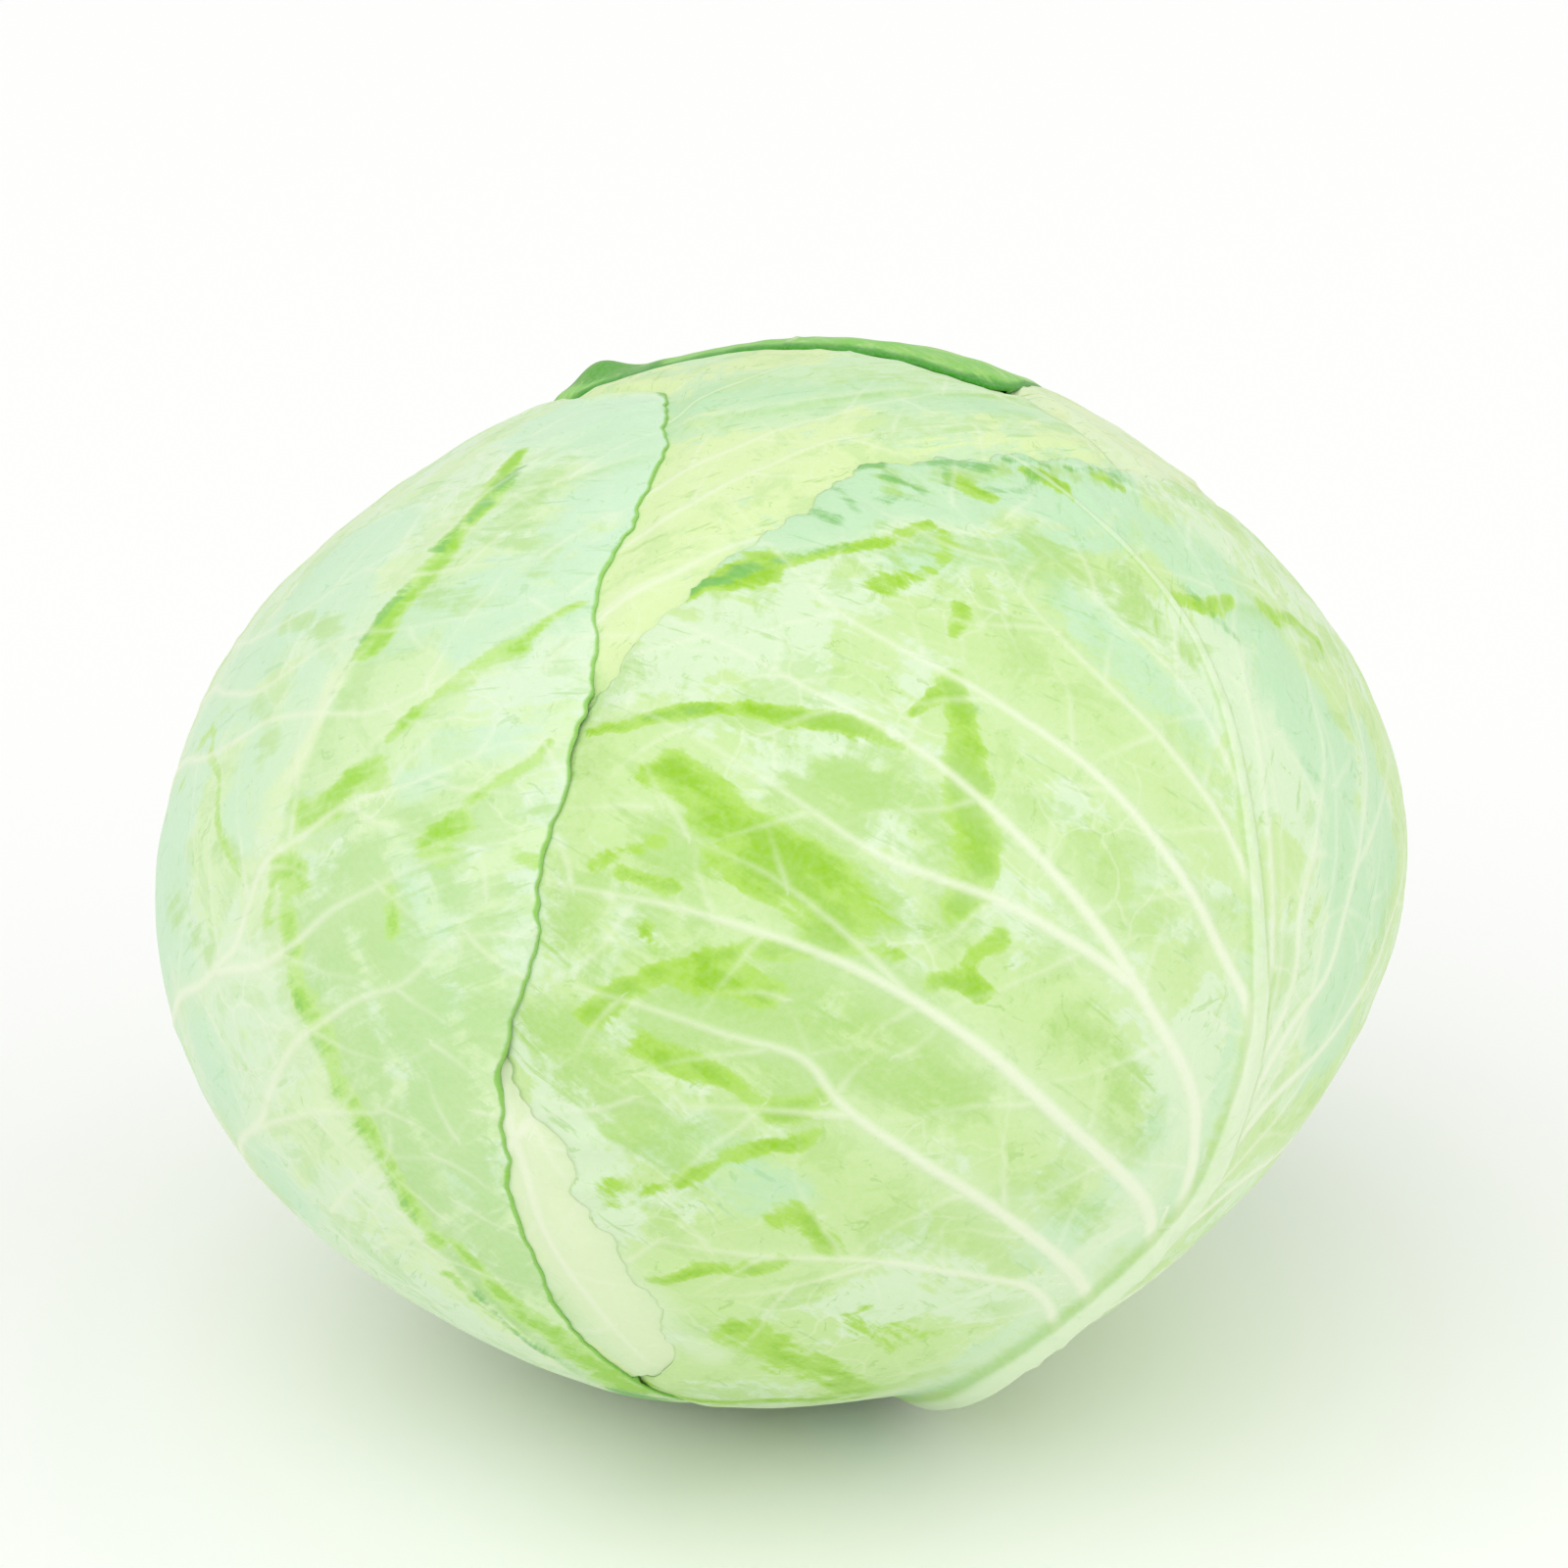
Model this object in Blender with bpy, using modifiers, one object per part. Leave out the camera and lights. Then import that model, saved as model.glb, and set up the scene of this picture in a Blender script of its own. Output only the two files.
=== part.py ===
# Cabbage head, standing on its cut stem.
#
# Metres, +Z up. The origin is the centre of the stem's cut face and the front of the head is -Y.
# Eight wrapper leaves lie one over another round a heart of packed inner leaves, and every leaf ends
# at the stem. A leaf starts as a flat grid. It is laid on the head by its distance and bearing
# from the leaf's own middle, sunk below the leaves that cover it, and given its thickness by
# Solidify. Directions are angles in degrees: azimuth from the front towards +X, and polar angle
# from the top of the head.

import math

import bmesh
import bpy
import numpy as np
from mathutils import Vector

# The head's outer surface
HALF_WIDTH = 0.105
HALF_HEIGHT = 0.088
CENTRE_HEIGHT = 0.0865
UNDERSIDE_HEIGHT = 0.0024
UNDERSIDE_ROUNDING = 0.004

# Broad flats (negative) and swellings: azimuth, polar angle, angular reach, share of the radius
FLATS = [
    (75.0, 125.0, 26.0, -0.080),
    (-111.0, 44.0, 24.0, -0.045),
    (105.0, 53.0, 24.0, -0.025),
    (-83.0, 109.0, 28.0, 0.022),
    (140.0, 20.0, 26.0, 0.020),
]

# How the leaves are stacked
LEAF_GAP = 0.0018
CLEAR_REACH = 20.0
RAMP_REACH = 22.0
LEAF_POLAR = 80.0
SPIRAL_START = -93.5
SPIRAL_STEP = 137.5

# The leaf blade and its midrib
BLADE_THICKNESS = 0.0013
RIB_HEIGHT = 0.0055
RIB_HALF_WIDTH = 7.0
RIB_REACH = 175.0
RIB_CLEAR_OF_FLOOR = 14.0
RIB_FULL_FROM_FLOOR = 35.0

# The stem, and the core that it runs into
STEM_RADIUS = 0.018
CORE_TOP_RADIUS = 0.008
CORE_TOP_HEIGHT = 0.098
STEM_SHOULDER_HEIGHT = 0.030
LEAF_BASE_CLEARANCE = 0.0016
BASE_FLARE = 8.0
HEART_CLEARANCE = 0.0012
CORE_CLEARANCE = 0.0006
CORE_STEP = 0.02
CORE_STEPS = 4
STEM_SIDES = 40

# Outlines: bearing from the leaf's tip, clockwise as seen from outside, and reach, both in degrees
LEFT_OUTLINE = [(-150, 95), (-120, 80), (-90, 71), (-60, 69), (-30, 62), (0, 58), (12, 68), (40, 68),
                (65, 69), (90, 68.5), (112, 74), (130, 84), (150, 95)]
RIGHT_OUTLINE = [(-155, 88), (-125, 63), (-105, 63), (-90, 66), (-58, 61), (-32, 56), (0, 51),
                 (35, 50), (60, 62), (90, 70), (120, 78), (150, 92)]
BACK_OUTLINE = [(-150, 92), (-120, 78), (-90, 74), (-60, 80), (-28, 84), (-10, 74), (14, 81),
                (40, 78), (60, 74), (90, 72), (120, 78), (150, 92)]
FRONT_OUTLINE = [(-150, 92), (-120, 82), (-90, 82), (-60, 86), (-30, 90), (0, 94), (35, 97), (60, 92),
                 (90, 82), (120, 78), (150, 92)]
INNER_OUTLINE = [(-150, 92), (-110, 80), (-70, 84), (-35, 90), (0, 94), (40, 90), (75, 82), (110, 80),
                 (150, 92)]

# Every leaf in the order it comes off the head: its name, outline, grid divisions and greenness
LEAVES = [
    ("leaf_01_left", LEFT_OUTLINE, 18, 1.0),
    ("leaf_02_right", RIGHT_OUTLINE, 18, 0.9),
    ("leaf_03_back", BACK_OUTLINE, 18, 1.0),
    ("leaf_04_front", FRONT_OUTLINE, 16, 0.45),
    ("leaf_05_back_right", INNER_OUTLINE, 16, 0.4),
    ("leaf_06_back_left", INNER_OUTLINE, 16, 0.35),
    ("leaf_07_front_right", INNER_OUTLINE, 16, 0.3),
    ("leaf_08_back_inner", INNER_OUTLINE, 16, 0.25),
]
HEART_SEGMENTS = 24
HEART_RINGS = 14

DARK_LEAF = (0.40, 0.62, 0.18)
PALE_LEAF = (0.84, 0.90, 0.60)
HEART_COLOUR = (0.86, 0.88, 0.66)
STEM_COLOUR = (0.80, 0.80, 0.58)


def clear_scene():
    for thing in list(bpy.data.objects):
        bpy.data.objects.remove(thing, do_unlink=True)


def smooth_step(t):
    t = np.clip(t, 0.0, 1.0)
    return t * t * (3.0 - 2.0 * t)


def directions(azimuth, polar):
    """Unit vectors of azimuths and polar angles in degrees, one row each."""
    az, po = np.radians(azimuth), np.radians(polar)
    return np.stack([np.sin(az) * np.sin(po), -np.cos(az) * np.sin(po), np.cos(po) + 0.0 * az], axis=-1)


def head_radius(ray):
    """Distance from the head's middle to its outer surface along each unit vector."""
    scaled = ray / np.array([HALF_WIDTH, HALF_WIDTH, HALF_HEIGHT])
    radius = 1.0 / np.linalg.norm(scaled, axis=-1)
    for azimuth, polar, reach, amount in FLATS:
        angle = np.degrees(np.arccos(np.clip(ray @ directions(azimuth, polar), -1.0, 1.0)))
        radius = radius * (1.0 + amount * np.exp(-((angle / reach) ** 2)))
    down = np.maximum(-ray[..., 2], 1e-3)
    to_underside = (CENTRE_HEIGHT - UNDERSIDE_HEIGHT) / down
    blend = np.clip(0.5 + 0.5 * (radius - to_underside) / UNDERSIDE_ROUNDING, 0.0, 1.0)
    rounded = radius * (1.0 - blend) + to_underside * blend
    return rounded - UNDERSIDE_ROUNDING * blend * (1.0 - blend)


class LeafPlan:
    """Where one leaf lies: its middle, its outline, and how far a direction is past its margin."""

    def __init__(self, order, outline):
        self.azimuth = SPIRAL_START + SPIRAL_STEP * order
        self.middle = directions(self.azimuth, LEAF_POLAR)
        self.up = -directions(self.azimuth, LEAF_POLAR + 90.0)
        self.right = directions(self.azimuth + 90.0, 90.0)
        self.outline = outline
        sunk = (order + 1) * (BLADE_THICKNESS + LEAF_GAP)
        to_base = CENTRE_HEIGHT - UNDERSIDE_HEIGHT - sunk
        self.base_angle = math.asin((STEM_RADIUS + LEAF_BASE_CLEARANCE) / to_base)

    def margin(self, bearing):
        """Reach of the margin in degrees at each bearing, as if the base went on under the stem."""
        bearings, reaches = zip(*self.outline)
        return np.interp(bearing, bearings, reaches, period=360.0)

    def reach(self, bearing):
        """The leaf's reach in degrees at each bearing, cut back to the stem at its base."""
        margin = self.margin(bearing)
        from_base = np.radians(180.0 - np.abs(bearing))
        to_pole = math.radians(180.0 - LEAF_POLAR)
        along, across = math.cos(to_pole), math.sin(to_pole) * np.cos(from_base)
        size = np.hypot(along, across)
        cut = math.cos(self.base_angle)
        meets = (size > cut) & (from_base < math.pi / 2.0)
        to_stem = np.arctan2(across, along) - np.arccos(np.clip(cut / size, -1.0, 1.0))
        return np.where(meets, np.minimum(np.degrees(to_stem), margin + BASE_FLARE), margin)

    def place(self, reach, bearing):
        """Unit vectors at that reach and bearing from the leaf's middle, both in degrees."""
        far, turn = np.radians(reach)[..., None], np.radians(bearing)[..., None]
        sideways = np.cos(turn) * self.up + np.sin(turn) * self.right
        return np.cos(far) * self.middle + np.sin(far) * sideways

    def measure(self, ray):
        """Reach and bearing in degrees of each unit vector."""
        reach = np.degrees(np.arccos(np.clip(ray @ self.middle, -1.0, 1.0)))
        bearing = np.degrees(np.arctan2(ray @ self.right, ray @ self.up))
        return reach, bearing

    def cover(self, ray):
        """1 under the leaf and a little way past its margin, falling smoothly to 0 further out."""
        reach, bearing = self.measure(ray)
        return 1.0 - smooth_step((reach - self.margin(bearing) - CLEAR_REACH) / RAMP_REACH)


def depth_below(ray, plans):
    """How far the outer leaves push a surface in, towards the head's middle."""
    depth = np.zeros(ray.shape[:-1])
    for plan in plans:
        depth = depth + (BLADE_THICKNESS + LEAF_GAP) * plan.cover(ray)
    return depth


def rib_height(plan, ray, covered):
    """Height of the midrib that stands out of the blade, in metres, where no leaf lies on it."""
    reach, bearing = plan.measure(ray)
    across = reach * np.sin(np.radians(bearing))
    from_base = (180.0 - LEAF_POLAR) + reach * np.cos(np.radians(bearing))
    taper = np.clip(1.0 - from_base / RIB_REACH, 0.0, 1.0)
    free = 1.0 - np.clip(covered, 0.0, 1.0)
    from_floor = np.degrees(np.arccos(np.clip(-ray[:, 2], -1.0, 1.0))) - RIB_CLEAR_OF_FLOOR
    lifted = smooth_step(from_floor / (RIB_FULL_FROM_FLOOR - RIB_CLEAR_OF_FLOOR))
    return RIB_HEIGHT * taper * free * lifted * np.exp(-((across / RIB_HALF_WIDTH) ** 2))


def make_material(name, colour, roughness):
    material = bpy.data.materials.new(name)
    material.use_nodes = True
    shader = material.node_tree.nodes["Principled BSDF"]
    shader.inputs["Base Color"].default_value = (*colour, 1.0)
    shader.inputs["Roughness"].default_value = roughness
    shader.inputs["Metallic"].default_value = 0.0
    return material


def leaf_material(name, greenness):
    colour = [p + (d - p) * greenness for p, d in zip(PALE_LEAF, DARK_LEAF)]
    return make_material(name, colour, 0.45)


def link(mesh_name, bm, collection, material):
    mesh = bpy.data.meshes.new(mesh_name)
    bm.to_mesh(mesh)
    bm.free()
    mesh.materials.append(material)
    thing = bpy.data.objects.new(mesh_name, mesh)
    collection.objects.link(thing)
    return thing


def make_leaf(name, plan, outer_plans, divisions, greenness, collection):
    bm = bmesh.new()
    bmesh.ops.create_grid(bm, x_segments=divisions, y_segments=divisions, size=1.0)
    flat = np.array([v.co for v in bm.verts])
    # a square grid squeezed into a disc, then stretched out to the leaf's outline
    across = flat[:, 0] * np.sqrt(1.0 - flat[:, 1] ** 2 / 2.0)
    along = flat[:, 1] * np.sqrt(1.0 - flat[:, 0] ** 2 / 2.0)
    bearing = np.degrees(np.arctan2(across, along))
    reach = np.hypot(across, along) * plan.reach(bearing)
    ray = plan.place(reach, bearing)
    covered = sum((outer.cover(ray) for outer in outer_plans), np.zeros(len(ray)))
    rib = rib_height(plan, ray, covered)
    radius = head_radius(ray) - depth_below(ray, outer_plans) + rib
    for vertex, direction, distance in zip(bm.verts, ray, radius):
        vertex.co = Vector(direction) * float(distance) + Vector((0.0, 0.0, CENTRE_HEIGHT))
    bmesh.ops.recalc_face_normals(bm, faces=bm.faces)
    bm.faces.ensure_lookup_table()
    middle = Vector((0.0, 0.0, CENTRE_HEIGHT))
    if bm.faces[0].normal.dot(bm.faces[0].calc_center_median() - middle) < 0.0:
        bmesh.ops.reverse_faces(bm, faces=bm.faces)
    leaf = link(name, bm, collection, leaf_material(name, greenness))

    thickest = BLADE_THICKNESS + RIB_HEIGHT
    group = leaf.vertex_groups.new(name="thickness")
    for index, height in enumerate(rib):
        group.add([index], float((BLADE_THICKNESS + height) / thickest), "REPLACE")
    solidify = leaf.modifiers.new("thickness", "SOLIDIFY")
    solidify.thickness = thickest
    solidify.offset = -1.0
    solidify.vertex_group = group.name
    leaf.data.shade_smooth()
    return leaf


def core_radius(height):
    """Radius of the stem at that height, with its taper above the shoulder."""
    t = (height - STEM_SHOULDER_HEIGHT) / (CORE_TOP_HEIGHT - STEM_SHOULDER_HEIGHT)
    return STEM_RADIUS + (CORE_TOP_RADIUS - STEM_RADIUS) * min(max(t, 0.0), 1.0)


def turn_core(name, foot, clearance, collection, material):
    """A turned core, grown all round by the clearance. Its profile runs down the outer side."""
    top = CORE_TOP_HEIGHT + clearance
    heights = [CORE_TOP_HEIGHT - step * CORE_STEP for step in range(1, CORE_STEPS)]
    heights = [h for h in heights if h > STEM_SHOULDER_HEIGHT] + [STEM_SHOULDER_HEIGHT]
    profile = [(0.0, top), (CORE_TOP_RADIUS + clearance, top)]
    profile += [(core_radius(h) + clearance, h) for h in heights]
    profile += [(STEM_RADIUS + clearance, foot), (0.0, foot)]
    bm = bmesh.new()
    corners = [bm.verts.new((radius, 0.0, height)) for radius, height in profile]
    for upper, lower in zip(corners, corners[1:]):
        bm.edges.new((upper, lower))
    core = link(name, bm, collection, material)
    screw = core.modifiers.new("turn", "SCREW")
    screw.steps = STEM_SIDES
    screw.render_steps = STEM_SIDES
    screw.use_merge_vertices = True
    screw.merge_threshold = 0.00005
    return core


def make_stem(collection):
    return turn_core("stem", 0.0, 0.0, collection, make_material("stem", STEM_COLOUR, 0.6))


def make_heart(plans, collection, cutters):
    """The packed inner leaves: a ball sunk below every leaf, with a blind bore for the core."""
    bm = bmesh.new()
    bmesh.ops.create_uvsphere(bm, u_segments=HEART_SEGMENTS, v_segments=HEART_RINGS, radius=1.0)
    ray = np.array([v.co.normalized() for v in bm.verts])
    radius = head_radius(ray) - depth_below(ray, plans) - HEART_CLEARANCE
    for vertex, direction, distance in zip(bm.verts, ray, radius):
        vertex.co = Vector(direction) * float(distance) + Vector((0.0, 0.0, CENTRE_HEIGHT))
    heart = link("heart", bm, collection, make_material("heart", HEART_COLOUR, 0.55))
    cutter_material = make_material("core_cutter", STEM_COLOUR, 0.6)
    cutter = turn_core("core_cutter", -CORE_STEP, CORE_CLEARANCE, cutters, cutter_material)
    cutter.hide_render = True
    cutter.display_type = "WIRE"
    bore = heart.modifiers.new("core bore", "BOOLEAN")
    bore.operation = "DIFFERENCE"
    bore.object = cutter
    bore.solver = "EXACT"
    return heart


def main():
    clear_scene()
    collection = bpy.data.collections.new("cabbage_head")
    cutters = bpy.data.collections.new("cutters")
    for group in (collection, cutters):
        bpy.context.scene.collection.children.link(group)
    plans = [LeafPlan(order, outline) for order, (_, outline, _, _) in enumerate(LEAVES)]
    for order, (name, _, divisions, greenness) in enumerate(LEAVES):
        make_leaf(name, plans[order], plans[:order], divisions, greenness, collection)
    make_heart(plans, collection, cutters)
    make_stem(collection)


main()
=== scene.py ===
# White head cabbage, resting on its cut stem. Metres, Z up, the front of the head faces -Y.
# Directions are degrees: azimuth from the front towards +X, polar angle from the top of the head.
# Every leaf is laid on the head by two leaf degrees, across (x) and towards the tip (y), from its middle.

import math
from functools import partial

import bpy
import numpy as np
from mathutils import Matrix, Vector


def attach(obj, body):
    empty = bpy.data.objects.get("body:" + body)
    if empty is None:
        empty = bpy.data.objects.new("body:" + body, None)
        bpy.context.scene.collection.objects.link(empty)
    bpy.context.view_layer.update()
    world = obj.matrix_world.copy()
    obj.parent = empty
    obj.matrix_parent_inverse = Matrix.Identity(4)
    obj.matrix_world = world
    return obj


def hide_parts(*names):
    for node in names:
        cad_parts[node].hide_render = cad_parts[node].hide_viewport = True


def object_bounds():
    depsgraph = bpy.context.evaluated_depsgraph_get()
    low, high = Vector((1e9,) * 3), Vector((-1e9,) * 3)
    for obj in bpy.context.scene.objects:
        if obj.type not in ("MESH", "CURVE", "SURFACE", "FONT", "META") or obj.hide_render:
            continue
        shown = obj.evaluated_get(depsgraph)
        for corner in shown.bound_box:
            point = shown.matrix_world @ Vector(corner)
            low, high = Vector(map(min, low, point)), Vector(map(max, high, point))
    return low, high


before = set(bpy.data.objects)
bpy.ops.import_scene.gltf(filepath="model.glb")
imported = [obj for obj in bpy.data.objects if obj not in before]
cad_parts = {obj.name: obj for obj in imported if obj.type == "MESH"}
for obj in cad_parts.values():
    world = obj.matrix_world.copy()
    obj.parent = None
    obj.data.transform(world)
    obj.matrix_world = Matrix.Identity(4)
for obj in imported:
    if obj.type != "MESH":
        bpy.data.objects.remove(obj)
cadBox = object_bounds()
cadWidth = cadBox[1][0] - cadBox[0][0]
cadHeight = cadBox[1][2] - cadBox[0][2]
print("cabbage: frame loaded,", len(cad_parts), "nodes")

head = {
    "halfWidth": 0.4944 * cadWidth,
    "halfHeight": 0.5128 * cadHeight,
    "middleHeight": 0.5041 * cadHeight,
    "undersideHeight": 0.0024,
    "undersideRounding": 0.004,
    # azimuth, polar angle, angular reach, share of the radius
    "swellings": [(75, 125, 26, -0.080), (-111, 44, 24, -0.045), (105, 53, 24, -0.025),
                  (-83, 109, 28, 0.022), (140, 20, 26, 0.020), (-104, 66, 30, -0.016), (170, 14, 40, -0.020),
                  (67, 122, 8, -0.022)],
    "dents": 0.0003,
    "dentSize": 38,
    "stemRadius": 0.018,
    "layerStep": 0.0011,      # how much deeper each covered leaf lies
    "pressClear": 0.6,        # degrees past a margin that stay pressed down
    "pressRamp": 2.8,         # degrees over which a leaf rises again beyond the margin over it
    "millimetresPerDegree": 1.78,
    "firstAzimuth": -93.5,    # middle of the outermost leaf
    "spiral": 137.5,          # from each leaf to the next
    "leafPolar": 80.0,
    "footRounding": 1.6,      # degrees, where a leaf is cut at the stem
}
veinGroups = 4


def smoothStep(t):
    t = np.clip(t, 0.0, 1.0)
    return t * t * (3.0 - 2.0 * t)


def directions(azimuth, polar):
    az, po = np.radians(azimuth), np.radians(polar)
    return np.stack([np.sin(az) * np.sin(po), -np.cos(az) * np.sin(po), np.cos(po) + 0.0 * az], axis=-1)


def sineNoise(x, y, wavelength, seed, waves=16):
    # seeded waves in all directions, mostly between -1 and 1
    rng = np.random.default_rng(seed)
    total = np.zeros_like(x, dtype=float)
    for _ in range(waves):
        turn, shift = rng.uniform(0, 2 * math.pi), rng.uniform(0, 2 * math.pi)
        stretch = rng.uniform(0.7, 1.6)
        phase = (x * math.cos(turn) + y * math.sin(turn)) * 2 * math.pi / (wavelength * stretch)
        total += np.sin(phase + shift)
    return total / math.sqrt(waves)


def headRadius(ray):
    scaled = ray / np.array([head["halfWidth"], head["halfWidth"], head["halfHeight"]])
    radius = 1.0 / np.linalg.norm(scaled, axis=-1)
    for azimuth, polar, reach, amount in head["swellings"]:
        angle = np.degrees(np.arccos(np.clip(ray @ directions(azimuth, polar), -1.0, 1.0)))
        radius = radius * (1.0 + amount * np.exp(-((angle / reach) ** 2)))
    steep = np.degrees(ray)
    dent = sineNoise(steep[..., 0], steep[..., 1] + 0.7 * steep[..., 2], head["dentSize"], 3)
    radius = radius + head["dents"] * dent
    down = np.maximum(-ray[..., 2], 1e-3)
    toUnderside = (head["middleHeight"] - head["undersideHeight"]) / down
    blend = np.clip(0.5 + 0.5 * (radius - toUnderside) / head["undersideRounding"], 0.0, 1.0)
    rounded = radius * (1.0 - blend) + toUnderside * blend
    return rounded - head["undersideRounding"] * blend * (1.0 - blend)


def smoothLine(points, step=1.6):
    p = np.array(points, float)
    ends = np.vstack([2 * p[0] - p[1], p, 2 * p[-1] - p[-2]])
    pieces = []
    for i in range(1, len(ends) - 2):
        a, b, c, d = ends[i - 1:i + 3]
        count = max(int(np.linalg.norm(c - b) / step), 2)
        t = np.linspace(0.0, 1.0, count, endpoint=False)[:, None]
        curve = 2 * b + (c - a) * t + (2 * a - 5 * b + 4 * c - d) * t ** 2 + (3 * b - a - 3 * c + d) * t ** 3
        pieces.append(0.5 * curve)
    return np.vstack(pieces + [p[-1:]])


class Leaf:
    def __init__(self, plan, order):
        self.plan = plan
        self.order = order
        self.azimuth = head["firstAzimuth"] + head["spiral"] * order
        self.polar = head["leafPolar"]
        self.middle = directions(self.azimuth, self.polar)
        self.up = -directions(self.azimuth, self.polar + 90.0)
        self.right = directions(self.azimuth + 90.0, 90.0)
        bearings, reaches = zip(*plan["outline"])
        turn = np.arange(-180.0, 180.0, 1.0)
        self.turn = turn
        self.smoothMargin = self.blur(np.interp(turn, bearings, reaches, period=360.0), plan["rounding"])
        depth = (order + 1) * head["layerStep"] + head["undersideHeight"]
        self.baseAngle = math.asin((head["stemRadius"] + 0.0012) / (head["middleHeight"] - depth))
        self.smoothReach = self.blur(self.cutAtStem(turn, self.smoothMargin), head["footRounding"])

    def margin(self, bearing):
        edge = np.interp(bearing, self.turn, self.smoothMargin, period=360.0)
        return edge + self.ruffle(bearing)

    def ruffle(self, bearing):
        # lobes, waves and fine teeth along the margin, in degrees of reach
        total = np.zeros_like(bearing, dtype=float)
        for wavelength, amount in self.plan["ruffle"]:
            total += amount * sineNoise(bearing, 0.0 * bearing, wavelength, 40 + self.order, 10)
        return total * (1.0 - smoothStep((np.abs(bearing) - 125.0) / 25.0))

    def blur(self, reaches, spread):
        kernel = np.exp(-(np.arange(-9, 10) / spread) ** 2)
        padded = np.concatenate([reaches[-9:], reaches, reaches[:9]])
        return np.convolve(padded, kernel / kernel.sum(), mode="valid")

    def cutAtStem(self, bearing, margin):
        # the margin, cut back to the stem at the leaf's base
        fromBase = np.radians(180.0 - np.abs(bearing))
        toPole = math.radians(180.0 - self.polar)
        along, across = math.cos(toPole), math.sin(toPole) * np.cos(fromBase)
        size = np.hypot(along, across)
        cut = math.cos(self.baseAngle)
        meets = (size > cut) & (fromBase < math.pi / 2.0)
        toStem = np.arctan2(across, along) - np.arccos(np.clip(cut / size, -1.0, 1.0))
        return np.where(meets, np.minimum(np.degrees(toStem), margin), margin)

    def reachAt(self, bearing):
        return np.interp(bearing, self.turn, self.smoothReach, period=360.0) + self.ruffle(bearing)

    def place(self, reach, bearing):
        far, turn = np.radians(reach)[..., None], np.radians(bearing)[..., None]
        sideways = np.cos(turn) * self.up + np.sin(turn) * self.right
        return np.cos(far) * self.middle + np.sin(far) * sideways

    def measure(self, ray):
        reach = np.degrees(np.arccos(np.clip(ray @ self.middle, -1.0, 1.0)))
        bearing = np.degrees(np.arctan2(ray @ self.right, ray @ self.up))
        return reach, bearing

    def press(self, ray, clear=head["pressClear"], ramp=head["pressRamp"]):
        # 1 where this leaf lies on the ones below, 0 well clear of its margin
        reach, bearing = self.measure(ray)
        return 1.0 - smoothStep((reach - self.margin(bearing) - clear) / ramp)


def layersAbove(ray, outer):
    # how many leaves deep a leaf lies: one more than each leaf that presses on it
    presses, depths = [], []
    for leaf in outer:
        depths.append(deepestOf(presses, depths, len(ray)))
        presses.append(leaf.press(ray))
    return deepestOf(presses, depths, len(ray))


def deepestOf(presses, depths, count):
    deepest = np.zeros(count)
    for press, depth in zip(presses, depths):
        deepest = np.maximum(deepest, press * (depth + 1.0))
    return deepest


def gapBelow(ray, leaf, leaves, pressed):
    # extra layers of air between this leaf and the next one down
    gap, found = np.zeros(len(ray)), np.zeros(len(ray), bool)
    for lower in leaves[leaf.order + 1:]:
        reach, bearing = lower.measure(ray)
        here = (reach < lower.margin(bearing)) & ~found
        gap = np.where(here, layersAbove(ray, leaves[:lower.order]) - pressed - 1.0, gap)
        found |= here
    return np.clip(gap, 0.0, 1.2)


twig = {                      # cross veins: degrees, unless it says otherwise
    "length": 12.0,
    "step": 1.3,
    "wander": 0.13,           # radians at each step
    "meets": 1.1,             # closer than this it joins another vein
    "branch": (0.75, 1.25),   # radians from the vein it leaves
    "halfWidth": (0.42, 0.24),    # millimetres at its two ends
    "veinTaper": 0.36,        # share of a side vein's width that is left at its tip
}


def growVeins(plan, order):
    # every vein as short straight runs: their ends and half widths in millimetres
    rng = np.random.default_rng(70 + order)
    lines = []
    for points, width in plan["veins"]:
        line = smoothLine(points)
        wobble = sineNoise(line[:, 0], line[:, 1], 13.0, 90 + order) * 0.3
        fade = np.minimum(np.arange(len(line)) / 6.0, 1.0)
        line = line + np.stack([wobble * fade, -wobble * fade], axis=1)
        lines.append((line, width, width * twig["veinTaper"]))
    reached = [smoothLine(line, 0.6) for line, _, _ in lines] + [smoothLine(plan["ribLine"], 0.6)]
    for parent, (line, width, _) in enumerate(list(lines)):
        run = np.concatenate([[0.0], np.cumsum(np.linalg.norm(np.diff(line, axis=0), axis=1))])
        at, side = plan["twigSpacing"] * rng.uniform(0.9, 1.3), 1.0
        while at < run[-1] - 2.0:
            here = np.array([np.interp(at, run, line[:, k]) for k in (0, 1)])
            ahead = np.array([np.interp(at + 1.5, run, line[:, k]) for k in (0, 1)])
            heading = math.atan2(ahead[1] - here[1], ahead[0] - here[0])
            heading += side * rng.uniform(*twig["branch"])
            walk = walkTwig(here, heading, [r for i, r in enumerate(reached) if i != parent], rng)
            if len(walk) > 3:
                lines.append((smoothLine(walk, 1.2), *twig["halfWidth"]))
                reached.append(smoothLine(walk[2:], 0.6))
            at += plan["twigSpacing"] * rng.uniform(0.6, 1.4)
            side = -side
    return groupLines(lines)


def groupLines(lines):
    # lines that touch go into different groups, so each group's signed distance stays clean
    farAway = lineRuns([(900, 900), (901, 900)], 0.0, 0.0)      # so that no group is empty
    groups = [[farAway] for _ in range(veinGroups)]
    members = [[] for _ in range(veinGroups)]
    for line, first, last in lines:
        clear = []
        for held in members:
            gaps = [np.linalg.norm(line[:, None] - other[None, :], axis=-1).min() for other in held]
            clear.append(min(gaps, default=99.0))
        free = [i for i, gap in enumerate(clear) if gap > 1.6]
        best = free[0] if free else int(np.argmax(clear))
        members[best].append(line)
        groups[best].append(lineRuns(line, first, last))
    return [[np.vstack([run[k] for run in group]) for k in (0, 1, 2)] for group in groups]


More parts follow.
